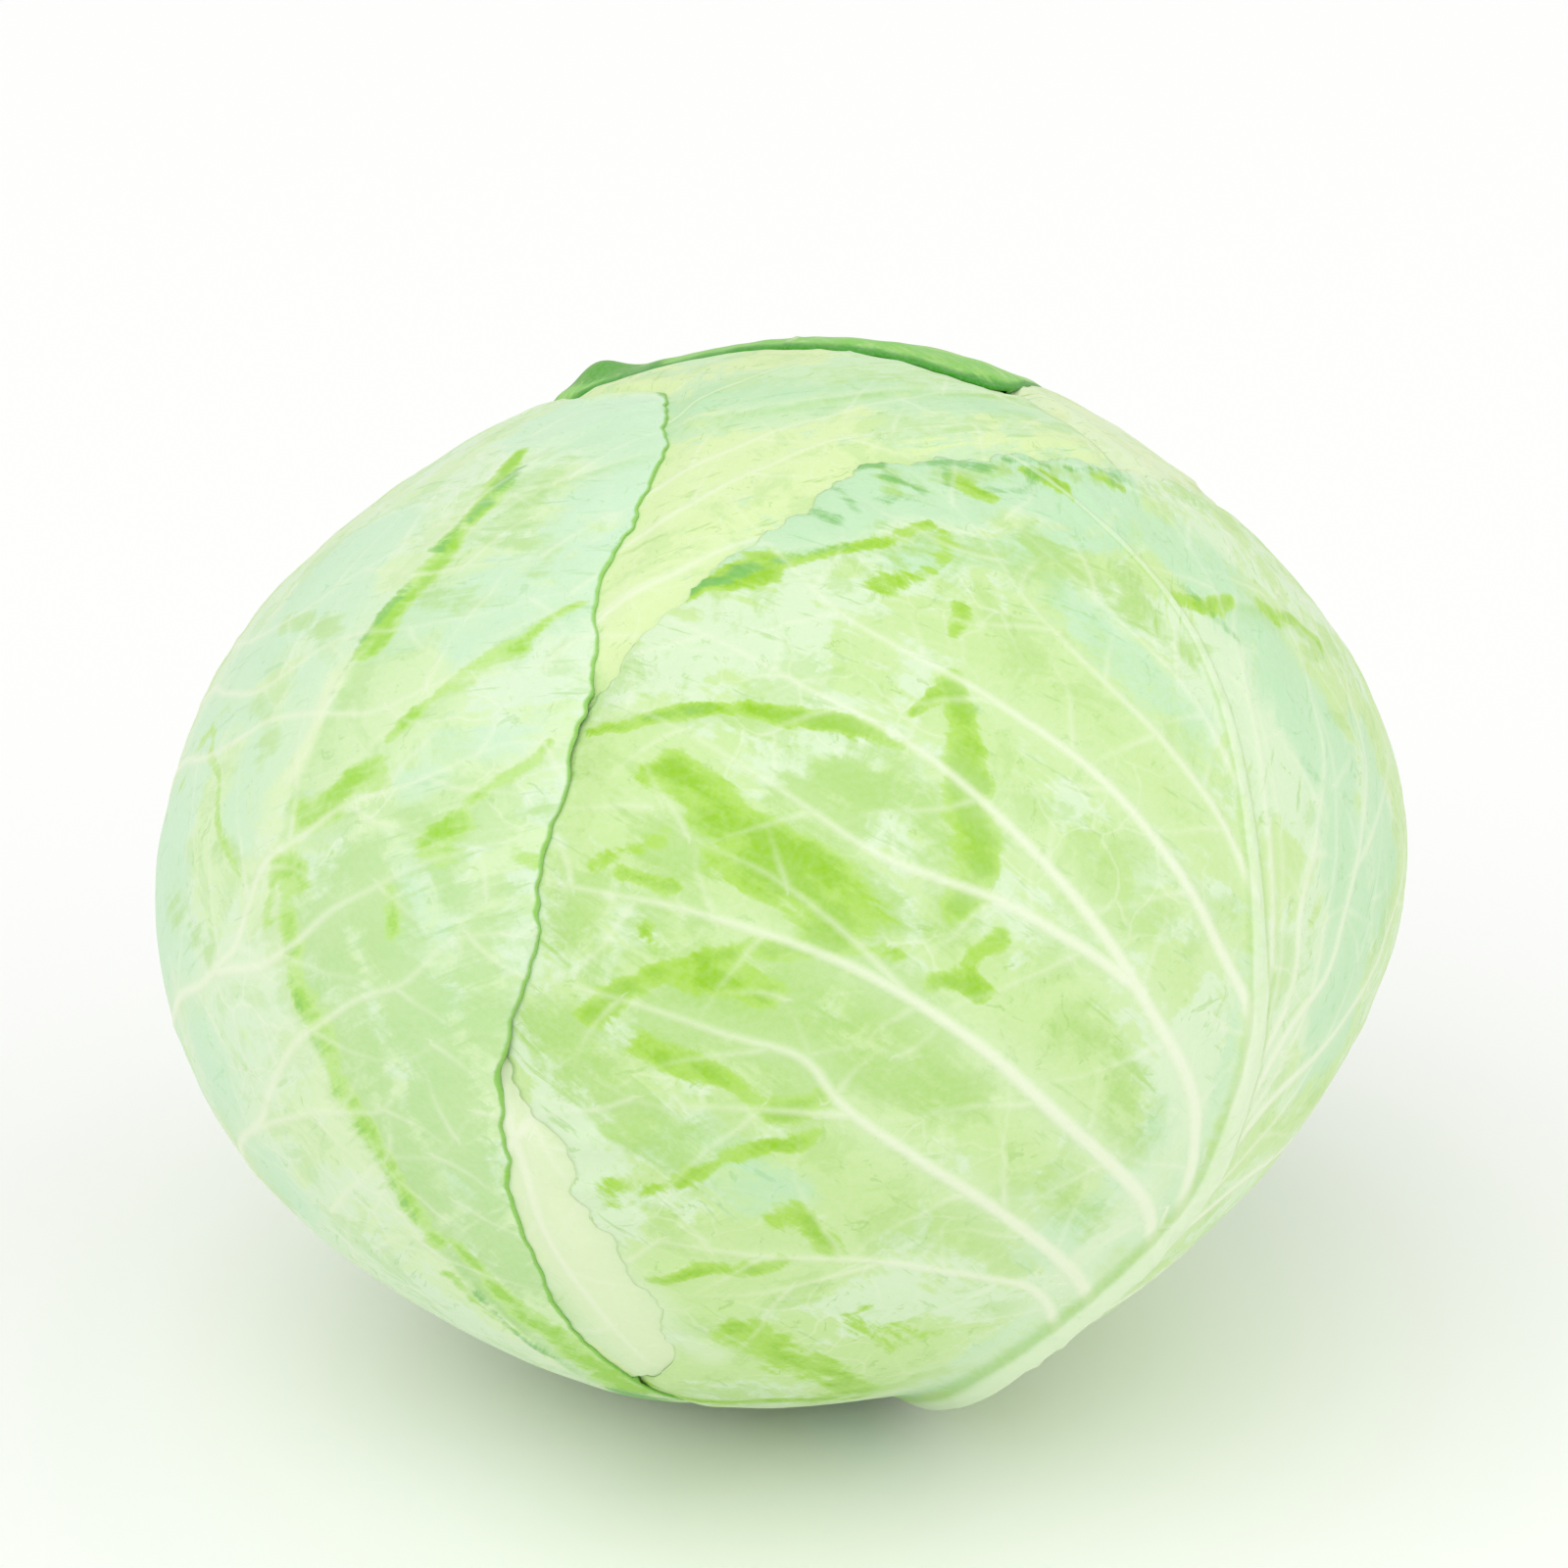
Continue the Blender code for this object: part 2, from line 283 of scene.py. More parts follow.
def walkTwig(here, heading, others, rng):
    # a cross vein wanders until it meets another vein
    others = np.vstack(others)
    points = [here]
    for _ in range(int(twig["length"] / twig["step"] * rng.uniform(0.8, 1.4))):
        heading += rng.normal(0.0, twig["wander"])
        here = here + twig["step"] * np.array([math.cos(heading), math.sin(heading)])
        gap = np.hypot(others[:, 0] - here[0], others[:, 1] - here[1])
        if gap.min() < twig["meets"]:
            points.append(others[gap.argmin()])
            break
        points.append(here)
    return points


def lineRuns(line, first, last, ease=1.0):
    # a line as straight runs: starts, ends, and half widths at both
    line = np.array(line, float)
    size = last + (first - last) * np.linspace(1.0, 0.0, len(line)) ** ease
    return line[:-1], line[1:], np.stack([size[:-1], size[1:]], axis=1)


def nearestLine(x, y, starts, ends, widths):
    # signed distance in millimetres to the nearest line, and its half width there
    scale = head["millimetresPerDegree"]
    side, width = np.zeros_like(x), np.zeros_like(x)
    run = ends - starts
    length = np.maximum((run ** 2).sum(axis=1), 1e-9)
    for first in range(0, len(x), 3000):
        part = slice(first, first + 3000)
        dx = x[part, None] - starts[None, :, 0]
        dy = y[part, None] - starts[None, :, 1]
        t = np.clip((dx * run[:, 0] + dy * run[:, 1]) / length, 0.0, 1.0)
        gap = np.hypot(dx - t * run[:, 0], dy - t * run[:, 1]) * scale
        size = widths[:, 0] * (1.0 - t) + widths[:, 1] * t
        best = np.argmin(gap - size, axis=1)
        rows = np.arange(len(best))
        turn = np.sign(run[best, 0] * dy[rows, best] - run[best, 1] * dx[rows, best])
        side[part] = gap[rows, best] * np.where(turn == 0.0, 1.0, turn)
        width[part] = size[rows, best]
    return side, width


# kinds of patch, and how ragged each is
patchRagged = {"wet": 1.0, "green": 1.0, "bloom": 1.0, "yellow": 1.0, "white": 1.0, "mint": 1.4, "dark": 0.5}


def patchAmount(x, y, patches, ragged):
    # soft strokes: points in leaf degrees, half width in degrees, strength
    amount = np.zeros_like(x)
    if not patches:
        return amount
    x, y = (x + 0.6 * ragged * sineNoise(x, y, 9.0, 31), y + 0.6 * ragged * sineNoise(x, y, 9.0, 32))
    for points, width, strength in patches:
        first, last = width if isinstance(width, tuple) else (width, width)
        gap, wide = nearestLine(x, y, *lineRuns(smoothLine(points, 2.5), first, last))
        gap = np.abs(gap) / head["millimetresPerDegree"]
        amount = np.maximum(amount, strength * (1.0 - smoothStep(gap / (1.7 * wide + 0.5))))
    return amount


def setMarks(mesh, marks):
    for name, values in marks.items():
        layer = mesh.attributes.new(name, "FLOAT", "POINT")
        layer.data.foreach_set("value", np.asarray(values, np.float32))


def startGrid(name, across, down):
    # a new flat grid, 2 by 2 round the origin, and where its points lie
    bpy.ops.object.select_all(action="DESELECT")
    bpy.ops.mesh.primitive_grid_add(x_subdivisions=across, y_subdivisions=down, size=2)
    piece = bpy.context.object
    piece.name = name
    piece.data.name = name
    flat = np.empty(len(piece.data.vertices) * 3)
    piece.data.vertices.foreach_get("co", flat)
    return piece, flat.reshape(-1, 3)


sheet = {                     # millimetres, unless it says degrees
    "thickness": 0.65,
    "rimThinning": 0.4,       # share of the thickness lost at the margin
    "rimWidth": 2.5,          # how far in the margin bends down
    "frillReach": 14.0,       # how far the margin's wrinkles run in
    "deepestHollow": 0.42,
    "crumpleSize": 9.0,       # degrees
    "pillowWidth": 4.5,
    "haloWidth": 4.2,
    "foldShadeNear": 2.6,
    "foldEnd": (6.0, 9.0),    # degrees over which a fold's painted shade and highlight, and its step, fade in
    "ribStart": (14.0, 21.0),     # degrees from the foot where the midrib rises, and over how many
    "coveredRib": 0.25,       # share of the midrib's height that a covered leaf keeps
    "ribWall": 0.9,           # how much of the midrib is solid
    "veinEdge": (1.0, 1.2),   # a vein's width is told to the material this far out, and fades over this
    "lowest": 0.0016,         # metres above the floor
    "thicknessSteps": 60,
}


def ribOn(plan, x, y):
    # the midrib: signed distance from its middle, half width, how full it is and how far it stands up
    broad, narrow = plan["ribHalfWidth"]
    tall, low = plan["ribHeight"]
    side, width = nearestLine(x, y, *lineRuns(smoothLine(plan["ribLine"]), broad, narrow, 2.1))
    taper = np.clip((width - narrow) / (broad - narrow), 0, 1)
    rise = low + (tall - low) * taper
    return side, width, taper, rise * np.exp(-(np.abs(side) / (width * 1.15)) ** 2.4)


def veinsOn(plan, order, x, y):
    # the side veins: each group's signed distances and half widths, the pale halo, and the relief
    groups = np.array([nearestLine(x, y, *group) for group in growVeins(plan, order)])
    sides, widths = groups[:, 0], groups[:, 1]
    nearest = np.argmin(np.abs(sides) - widths, axis=0)[None, :]
    gap = np.abs(np.take_along_axis(sides, nearest, axis=0)[0])
    width = np.take_along_axis(widths, nearest, axis=0)[0]
    halo = np.clip(widths - 0.25, 0.0, 0.8) * np.exp(-(np.abs(sides) / sheet["haloWidth"]) ** 1.5)
    broad = np.maximum(width * 1.2, 1.3)
    relief = plan["veinHeight"] * np.clip(width, 0.0, 1.2) * np.exp(-(gap / broad) ** 2)
    relief -= plan["pillow"] * np.exp(-(gap / sheet["pillowWidth"]) ** 2)
    return sides, widths, halo.max(axis=0), relief


def creasesOn(plan, x, y, relief):
    # folds: each adds its ridge and its step to the relief, painted shade on its right and a painted
    # highlight, a pale strip, on its left
    shade, pale = np.zeros_like(x), np.zeros_like(x)
    for crease in plan["creases"]:
        (ridge, ridgeWidth), (step, stepWidth) = crease["ridge"], crease["step"]
        depth, depthWidth = crease["shade"]
        line = smoothLine(crease["line"])
        side, _ = nearestLine(x, y, *lineRuns(line, 1.0, 1.0))
        ahead = np.hypot(x - line[-1, 0], y - line[-1, 1])
        behind = np.hypot(x - line[0, 0], y - line[0, 1])
        within, inside = [smoothStep(np.minimum(ahead, behind) / reach) for reach in sheet["foldEnd"]]
        relief += ridge * np.exp(-(side / ridgeWidth) ** 2)
        relief += step * np.tanh(side / stepWidth) * inside * np.exp(-(side / crease["reach"]) ** 2)
        # painted shade on the fold's right: broad, with a stronger narrow band close to the fold
        right = np.maximum(-side, 0.0)
        onRight = smoothStep((0.5 - side) / 1.1)
        fade = 0.55 * np.exp(-(right / depthWidth) ** 1.3) + 0.45 * np.exp(-(right / sheet["foldShadeNear"]) ** 2)
        shade = np.maximum(shade, depth * onRight * fade * within)
        # painted highlight: a pale strip on the fold's left, half as strong as its shade
        onLeft = (1.0 - onRight) * np.exp(-(side / depthWidth) ** 2)
        pale = np.maximum(pale, 0.5 * depth * onLeft * within)
    return shade, pale


def bulge(x, y, spots):
    # round swellings and hollows: their middle, spread and height
    rise = np.zeros_like(x)
    for middleX, middleY, spread, height in spots:
        rise += height * np.exp(-((x - middleX) ** 2 + (y - middleY) ** 2) / spread ** 2)
    return rise


def makeLeaf(leaf, leaves, material):
    plan, outer = leaf.plan, leaves[:leaf.order]
    piece, flat = startGrid(plan["name"], plan["divisions"], plan["divisions"])
    mesh = piece.data
    # the square grid squeezed into a disc, then stretched out to the leaf's outline
    across = flat[:, 0] * np.sqrt(1.0 - flat[:, 1] ** 2 / 2.0)
    along = flat[:, 1] * np.sqrt(1.0 - flat[:, 0] ** 2 / 2.0)
    bearing = np.degrees(np.arctan2(across, along))
    share = np.hypot(across, along)
    ruffle = leaf.ruffle(bearing)
    edge = leaf.reachAt(bearing)
    reach = share * (edge - ruffle) + share ** 9 * ruffle
    ray = leaf.place(reach, bearing)
    x, y = reach * np.sin(np.radians(bearing)), reach * np.cos(np.radians(bearing))
    toRim = (edge - reach) * head["millimetresPerDegree"]

    pressed = layersAbove(ray, outer)
    free = 1.0 - np.clip(pressed, 0.0, 1.0)
    fromFoot = np.degrees(np.arccos(np.clip(-ray[:, 2], -1.0, 1.0)))
    lifted = smoothStep((fromFoot - sheet["ribStart"][0]) / sheet["ribStart"][1])
    ribSide, ribWidth, ribTaper, ribShape = ribOn(plan, x, y)
    sides, widths, halo, relief = veinsOn(plan, leaf.order, x, y)
    relief += plan["crumple"] * sineNoise(x, y, sheet["crumpleSize"], 11 + leaf.order)
    # wrinkles that run in from the margin
    frill = plan["frill"] * sineNoise(bearing, reach * 0.25, plan["frillSpacing"], 23 + leaf.order)
    relief += frill * np.exp(-toRim / sheet["frillReach"]) * (1.0 - smoothStep((np.abs(bearing) - 115) / 20))
    # the folds' painted shade and painted highlight, kept as marks for the material
    foldPaintedShade, foldPaintedHighlight = creasesOn(plan, x, y, relief)
    relief += bulge(x, y, plan["swells"])
    deepest = sheet["deepestHollow"]
    relief = np.where(relief < 0.0, deepest * np.tanh(relief / deepest), relief)
    # the margin lies down on the leaf below it
    rimFall = np.exp(-toRim / sheet["rimWidth"])
    relief = relief * free * (1.0 - rimFall) + plan["rimLift"] * rimFall
    relief += ribShape * (sheet["coveredRib"] + (1.0 - sheet["coveredRib"]) * free) * lifted
    if plan["curls"]:
        clear = 1.0 - np.max([other.press(ray, 0.3, 1.6) for other in outer], axis=0)
        relief += clear * bulge(x, y, plan["curls"])

    layer = head["layerStep"] * 1000
    radius = headRadius(ray) + (relief - layer * pressed) * 0.001
    points = ray * radius[:, None]
    points[:, 2] = np.maximum(points[:, 2] + head["middleHeight"], sheet["lowest"])
    mesh.vertices.foreach_set("co", points.ravel())

    thickest = sheet["thickness"] + plan["ribHeight"][0]
    wall = sheet["thickness"] * (1.0 - sheet["rimThinning"] * rimFall) + ribShape * lifted * sheet["ribWall"]
    # a thicker fold along the margin fills the gap where two margins cross
    wall += gapBelow(ray, leaf, leaves, pressed) * layer * rimFall
    group = piece.vertex_groups.new(name="thickness")
    levels = np.round(wall / thickest * sheet["thicknessSteps"]).astype(int)
    for level in np.unique(levels):
        members = [int(i) for i in np.nonzero(levels == level)[0]]
        group.add(members, max(level, 1) / sheet["thicknessSteps"], "REPLACE")

    # painted shade: a cool strip along the left flank of the raised midrib, given to the mint mark
    ribPaintedShade = np.exp(-((2.5 * ribWidth - ribSide) / (1.5 * ribWidth)) ** 2)
    ribPaintedShade *= np.clip(4.0 * ribTaper, 0.0, 1.0)
    patches = {key: patchAmount(x, y, plan[key], ragged) for key, ragged in patchRagged.items()}
    setMarks(mesh, {
        "wet": patches["wet"], "green": patches["green"], "dark": patches["dark"], "white": patches["white"],
        "bloom": patches["bloom"] - patches["yellow"], "mint": np.maximum(patches["mint"], 0.9 * ribPaintedShade),
        "veinHalo": halo, "shade": foldPaintedShade, "pale": foldPaintedHighlight, "toRim": toRim,
        "ribSide": ribSide, "ribWidth": ribWidth, "ribFade": np.clip(0.45 + 1.6 * ribTaper, 0.0, 1.0),
    })
    for i in range(veinGroups):
        near = 1.0 - smoothStep((np.abs(sides[i]) - widths[i] - sheet["veinEdge"][0]) / sheet["veinEdge"][1])
        setMarks(mesh, {"veinSide" + str(i): sides[i], "veinWidth" + str(i): widths[i] * near})
    loops = np.empty(len(mesh.loops), int)
    mesh.loops.foreach_get("vertex_index", loops)
    leafMap = np.stack([x, y], axis=1)[loops] * head["millimetresPerDegree"] * 0.001
    mesh.uv_layers.active.data.foreach_set("uv", leafMap.ravel())

    # the sheet faces outwards, so its thickness grows inwards
    wallModifier = piece.modifiers.new("thickness", "SOLIDIFY")
    wallModifier.thickness = thickest * 0.001
    wallModifier.offset = -1.0
    wallModifier.vertex_group = group.name
    bpy.ops.object.modifier_apply(modifier=wallModifier.name)
    bpy.ops.object.shade_smooth()
    mesh.materials.clear()
    mesh.materials.append(material)
    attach(piece, "root")
    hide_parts(plan["node"])
    print("cabbage:", plan["name"], len(mesh.polygons), "faces")


def hexColour(code):
    # sRGB hex to linear
    parts = [int(code[i:i + 2], 16) / 255 for i in (1, 3, 5)]
    return tuple(c / 12.92 if c <= 0.04045 else ((c + 0.055) / 1.055) ** 2.4 for c in parts) + (1.0,)


def addNode(tree, kind, inputs=(), output=0, **settings):
    # a node with its settings and links, its inputs by place or by name; gives back one output
    node = tree.nodes.new("ShaderNode" + kind)
    for key, value in settings.items():
        setattr(node, key, value)
    for key, value in inputs.items() if isinstance(inputs, dict) else enumerate(inputs):
        if isinstance(value, bpy.types.NodeSocket):
            tree.links.new(value, node.inputs[key])
        else:
            node.inputs[key].default_value = value
    return node.outputs[output]


soft = {"interpolation_type": "SMOOTHSTEP"}     # a map range with eased ends


def newMaterial(name):
    # a material, its shader, and the function that adds nodes to it
    material = bpy.data.materials.new(name)
    material.use_nodes = True
    tree = material.node_tree
    return material, tree.nodes["Principled BSDF"], partial(addNode, tree)


def painted(add, colour, coats):
    # coats of colour over each other: how much each covers, and its colour
    for share, tint in coats:
        colour = add("Mix", {0: share, 6: colour, 7: tint}, 2, data_type="RGBA")
    return colour


def weighed(add, total, parts):
    # a total with more added to it: each part and how much of it
    for source, amount in parts:
        total = add("Math", [source, amount, total], operation="MULTIPLY_ADD")
    return total


def finishMaterial(add, shader, colour, height, strength):
    # colour and fine relief on the shader; the relief stands 0.4 mm high
    bump = add("Bump", {"Height": height, "Strength": strength, "Distance": 0.0004})
    shader.id_data.links.new(colour, shader.inputs["Base Color"])
    shader.id_data.links.new(bump, shader.inputs["Normal"])


leafLook = {
    "bloom": "#D0EAC6",       # waxy bloom
    "blade": "#BCE184",       # where the bloom is thin
    "deep": "#A3D25E",
    # mint: the bloom's cool patches, and also the painted shade along the midrib's left flank
    "mint": "#BEE5B6",
    # shade: colour of the painted shade beside folds and of the painted shadow lines by the midrib; also of
    # the fine flecks
    "shade": "#A0CF66",
    # dark: partly painted shade in folds and under lifted margins, partly dark green marks and the flecks in
    # mint patches
    "dark": "#78BE5E",
    "vein": "#EEF6DA",
    # rib: pale colour of the midrib, the halo round veins and the white patches, and also the folds' painted
    # highlight
    "rib": "#E2F1C6",
    "wet": "#94CC00",         # bruised, see-through tissue
    "wetPale": "#ACDB50",
    "rim": "#7DBE4E",
    "powder": "#FFFFFF",
    "rimWidth": 0.40,
    "netCell": 9.0,           # millimetres between the finest veins
    "netStrength": 0.30,
    "roughness": 0.46,
}
# size in millimetres, detail, roughness, distortion
leafNoises = {
    "cloud": (26, 5.0, 0.66, 0.5), "mottle": (7, 3.0, 0.6, 0.0), "grain": (1.1, 2.0, 0.6, 0.0),
    "blot": (15, 5.0, 0.68, 0.6), "speck": (4.2, 5.0, 0.7, 1.0), "netCover": (26, 2.0, 0.55, 0.0),
    "fray": (7, 5.0, 0.68, 0.6), "pucker": (2.4, 3.0, 0.6, 0.8), "streak": (3.2, 4.0, 0.62, 0.4),
}
leafMarks = ["bloom", "mint", "green", "pale", "shade", "wet", "dark", "white", "veinHalo", "ribSide",
             "ribWidth", "ribFade", "toRim"]
# a patch's frayed field covers between the first two values, the plain field between the next two;
# the last is the most it covers
patchEdges = {
    "mint": (0.25, 0.60, 0.0, 0.20, 0.85), "green": (0.30, 0.75, 0.0, 0.15, 0.90),
    "wet": (0.26, 0.58, 0.02, 0.20, 1.0), "dark": (0.32, 0.86, 0.02, 0.20, 0.85),
}


def leafMaterial(name, look):
    # cabbage leaf: waxy cuticle with a powdery bloom, so a broad soft sheen and cool, mottled colour
    material, shader, add = newMaterial(name)
    tint = {key: hexColour(code) for key, code in look.items() if isinstance(code, str)}
    mark = {key: add("Attribute", output="Fac", attribute_name=key) for key in leafMarks}
    leafMap = add("UVMap", uv_map="UVMap")
    # fine streaks that run the way the side veins do
    split = add("SeparateXYZ", [leafMap]).node
    away = add("Math", [split.outputs[0]], operation="ABSOLUTE")
    along = add("Math", [away, split.outputs[1]], operation="ADD")
    along = add("Math", [along, 0.16], operation="MULTIPLY")
    aside = add("Math", [split.outputs[1], away], operation="SUBTRACT")
    streakMap = add("CombineXYZ", [along, aside])
    noise = {}
    for key, (size, detail, rough, bend) in leafNoises.items():
        where = streakMap if key == "streak" else leafMap
        noise[key] = add("TexNoise", {"Vector": where, "Scale": 1000 / size, "Detail": detail,
                                      "Roughness": rough, "Distortion": bend})
    streak = noise["streak"]

    share = weighed(add, noise["cloud"], [(noise["mottle"], 0.42), (streak, 0.42), (mark["bloom"], 0.22)])
    bloom = add("MapRange", [share, 0.88, 0.98], **soft)
    deep = add("MapRange", [noise["blot"], 0.50, 0.60, 0.0, 0.50], **soft)
    specks = add("MapRange", [noise["speck"], 0.60, 0.66, 0.0, 0.5], **soft)
    flecks = add("MapRange", [streak, 0.60, 0.68, 0.0, 0.5], **soft)
    flecks = add("Math", [specks, flecks], operation="MAXIMUM")

    # the finest veins close into cells
    drift = add("TexNoise", {"Vector": leafMap, "Scale": 1000 / 11, "Detail": 2.0}, "Color")
    drift = add("VectorMath", [drift, (0.5, 0.5, 0.5)], operation="SUBTRACT")
    drift = add("VectorMath", {0: drift, "Scale": 0.009}, operation="SCALE")
    netMap = add("VectorMath", [leafMap, drift], operation="ADD")
    cells = add("TexVoronoi", {"Vector": netMap, "Scale": 1000 / look["netCell"]}, "Distance",
                feature="DISTANCE_TO_EDGE", voronoi_dimensions="2D")
    net = add("MapRange", [cells, 0.0, 0.055, 1.0, 0.0], **soft)
    netCover = add("MapRange", [noise["netCover"], 0.42, 0.62, 0.15, 1.0], **soft)
    net = add("Math", [net, netCover], operation="MULTIPLY")
    netShown = add("Math", [net, look["netStrength"]], operation="MULTIPLY")

    # frayed edges for the patches, stretched a little along the veins
    fray = weighed(add, -1.2, [(noise["fray"], 1.3), (streak, 1.1)])
    frays = dict.fromkeys(patchEdges, fray)
    frays["mint"] = weighed(add, -0.5, [(noise["cloud"], 1.0), (fray, 0.5)])
    cover = {}
    for key, (low, high, start, whole, most) in patchEdges.items():
        edge = add("Math", [mark[key], frays[key]], operation="ADD")
        inside = add("MapRange", [edge, low, high, 0.0, most], **soft)
        there = add("MapRange", [mark[key], start, whole], **soft)
        cover[key] = add("Math", [inside, there], operation="MULTIPLY")
    mintFlecks = add("Math", [cover["mint"], flecks], operation="MULTIPLY")
    mintFlecks = add("Math", [mintFlecks, 0.45], operation="MULTIPLY")
    # painted shade beside the folds, frayed at its edge
    shade = add("MapRange", [fray, -0.2, 0.2, 0.55, 1.0], **soft)
    shade = add("Math", [mark["shade"], shade], operation="MULTIPLY")
    wetMiddle = weighed(add, -0.6, [(mark["wet"], 1.0), (fray, 1.0), (noise["mottle"], 1.2)])
    wetMiddle = add("MapRange", [wetMiddle, 0.50, 1.05], **soft)
    wetTint = painted(add, tint["wetPale"], [(wetMiddle, tint["wet"])])

    veins = 0.0
    for i in range(veinGroups):
        width = add("Attribute", output="Fac", attribute_name="veinWidth" + str(i))
        side = add("Attribute", output="Fac", attribute_name="veinSide" + str(i))
        gap = add("Math", [side], operation="ABSOLUTE")
        wide = add("Math", [width, 1.25], operation="MULTIPLY")
        edge = add("Math", [wide, gap], operation="SUBTRACT")
        drawn = add("MapRange", [edge, -0.65, 0.75], **soft)
        bold = add("MapRange", [width, 0.05, 0.80, 0.0, 0.88], **soft)
        drawn = add("Math", [drawn, bold], operation="MULTIPLY")
        veins = add("Math", [drawn, veins], operation="MAXIMUM")
    # midrib: pale, with a greener painted shadow line down each side of it
    ribGap = add("Math", [mark["ribSide"]], operation="ABSOLUTE")
    ribGap = add("Math", [ribGap, mark["ribWidth"]], operation="DIVIDE")
    rib = add("MapRange", [ribGap, 0.7, 1.15, 1.0, 0.0], **soft)
    rib = add("Math", [rib, mark["ribFade"]], operation="MULTIPLY")
    ribShadowLines = add("MapRange", [ribGap, 0.8, 1.1, 0.0, 0.55], **soft)
    outside = add("MapRange", [ribGap, 1.2, 2.0, 1.0, 0.0], **soft)
    ribShadowLines = add("Math", [ribShadowLines, outside], operation="MULTIPLY")
    ribShadowLines = add("Math", [ribShadowLines, mark["ribFade"]], operation="MULTIPLY")
    rim = weighed(add, -0.6, [(mark["toRim"], 1.0), (noise["mottle"], 1.2)])
    rim = add("MapRange", [rim, look["rimWidth"] * 0.4, look["rimWidth"] * 1.6, 0.9, 0.0], **soft)
    powder = add("MapRange", [noise["grain"], 0.3, 0.7, 0.0, 0.06], **soft)

    # coats in order; some are painted light: the folds' painted highlight and painted shade, the painted
    # shadow lines beside the midrib, and painted shade within the mint and dark coats
    colour = painted(add, tint["blade"], [
        (bloom, tint["bloom"]), (deep, tint["deep"]), (flecks, tint["shade"]), (netShown, tint["vein"]),
        (cover["mint"], tint["mint"]), (mintFlecks, tint["dark"]), (cover["green"], tint["deep"]),
        (mark["pale"], tint["rib"]), (shade, tint["shade"]), (cover["wet"], wetTint),
        (cover["dark"], tint["dark"]), (mark["white"], tint["rib"]), (mark["veinHalo"], tint["rib"]),
        (veins, tint["vein"]), (ribShadowLines, tint["shade"]), (rib, tint["rib"]), (rim, tint["rim"]),
        (powder, tint["powder"]),
    ])
    height = weighed(add, noise["mottle"], [(net, 0.1), (veins, 0.5), (noise["pucker"], 0.5),
                                            (noise["grain"], 0.12)])
    finishMaterial(add, shader, colour, height, 0.6)
    rough = weighed(add, look["roughness"], [(bloom, 0.14), (cover["wet"], -0.12)])
    material.node_tree.links.new(rough, shader.inputs["Roughness"])
    shader.inputs["Specular IOR Level"].default_value = 0.22
    shader.inputs["Sheen Weight"].default_value = 0.10
    shader.inputs["Sheen Roughness"].default_value = 0.45
    return material


# outline: bearing from the tip and degrees out; lines and patches: points in leaf degrees
# veins and midrib: half widths in millimetres; patches: half width in degrees, strength
# creases: height and width of the ridge and of the step, how far the step reaches, and the strength and
# width of the painted shade beside the fold, which also set its painted highlight
plainLeaf = {"look": {}, "rimLift": -0.7, "creases": [], "swells": [], "curls": [],
             **dict.fromkeys(patchRagged, [])}

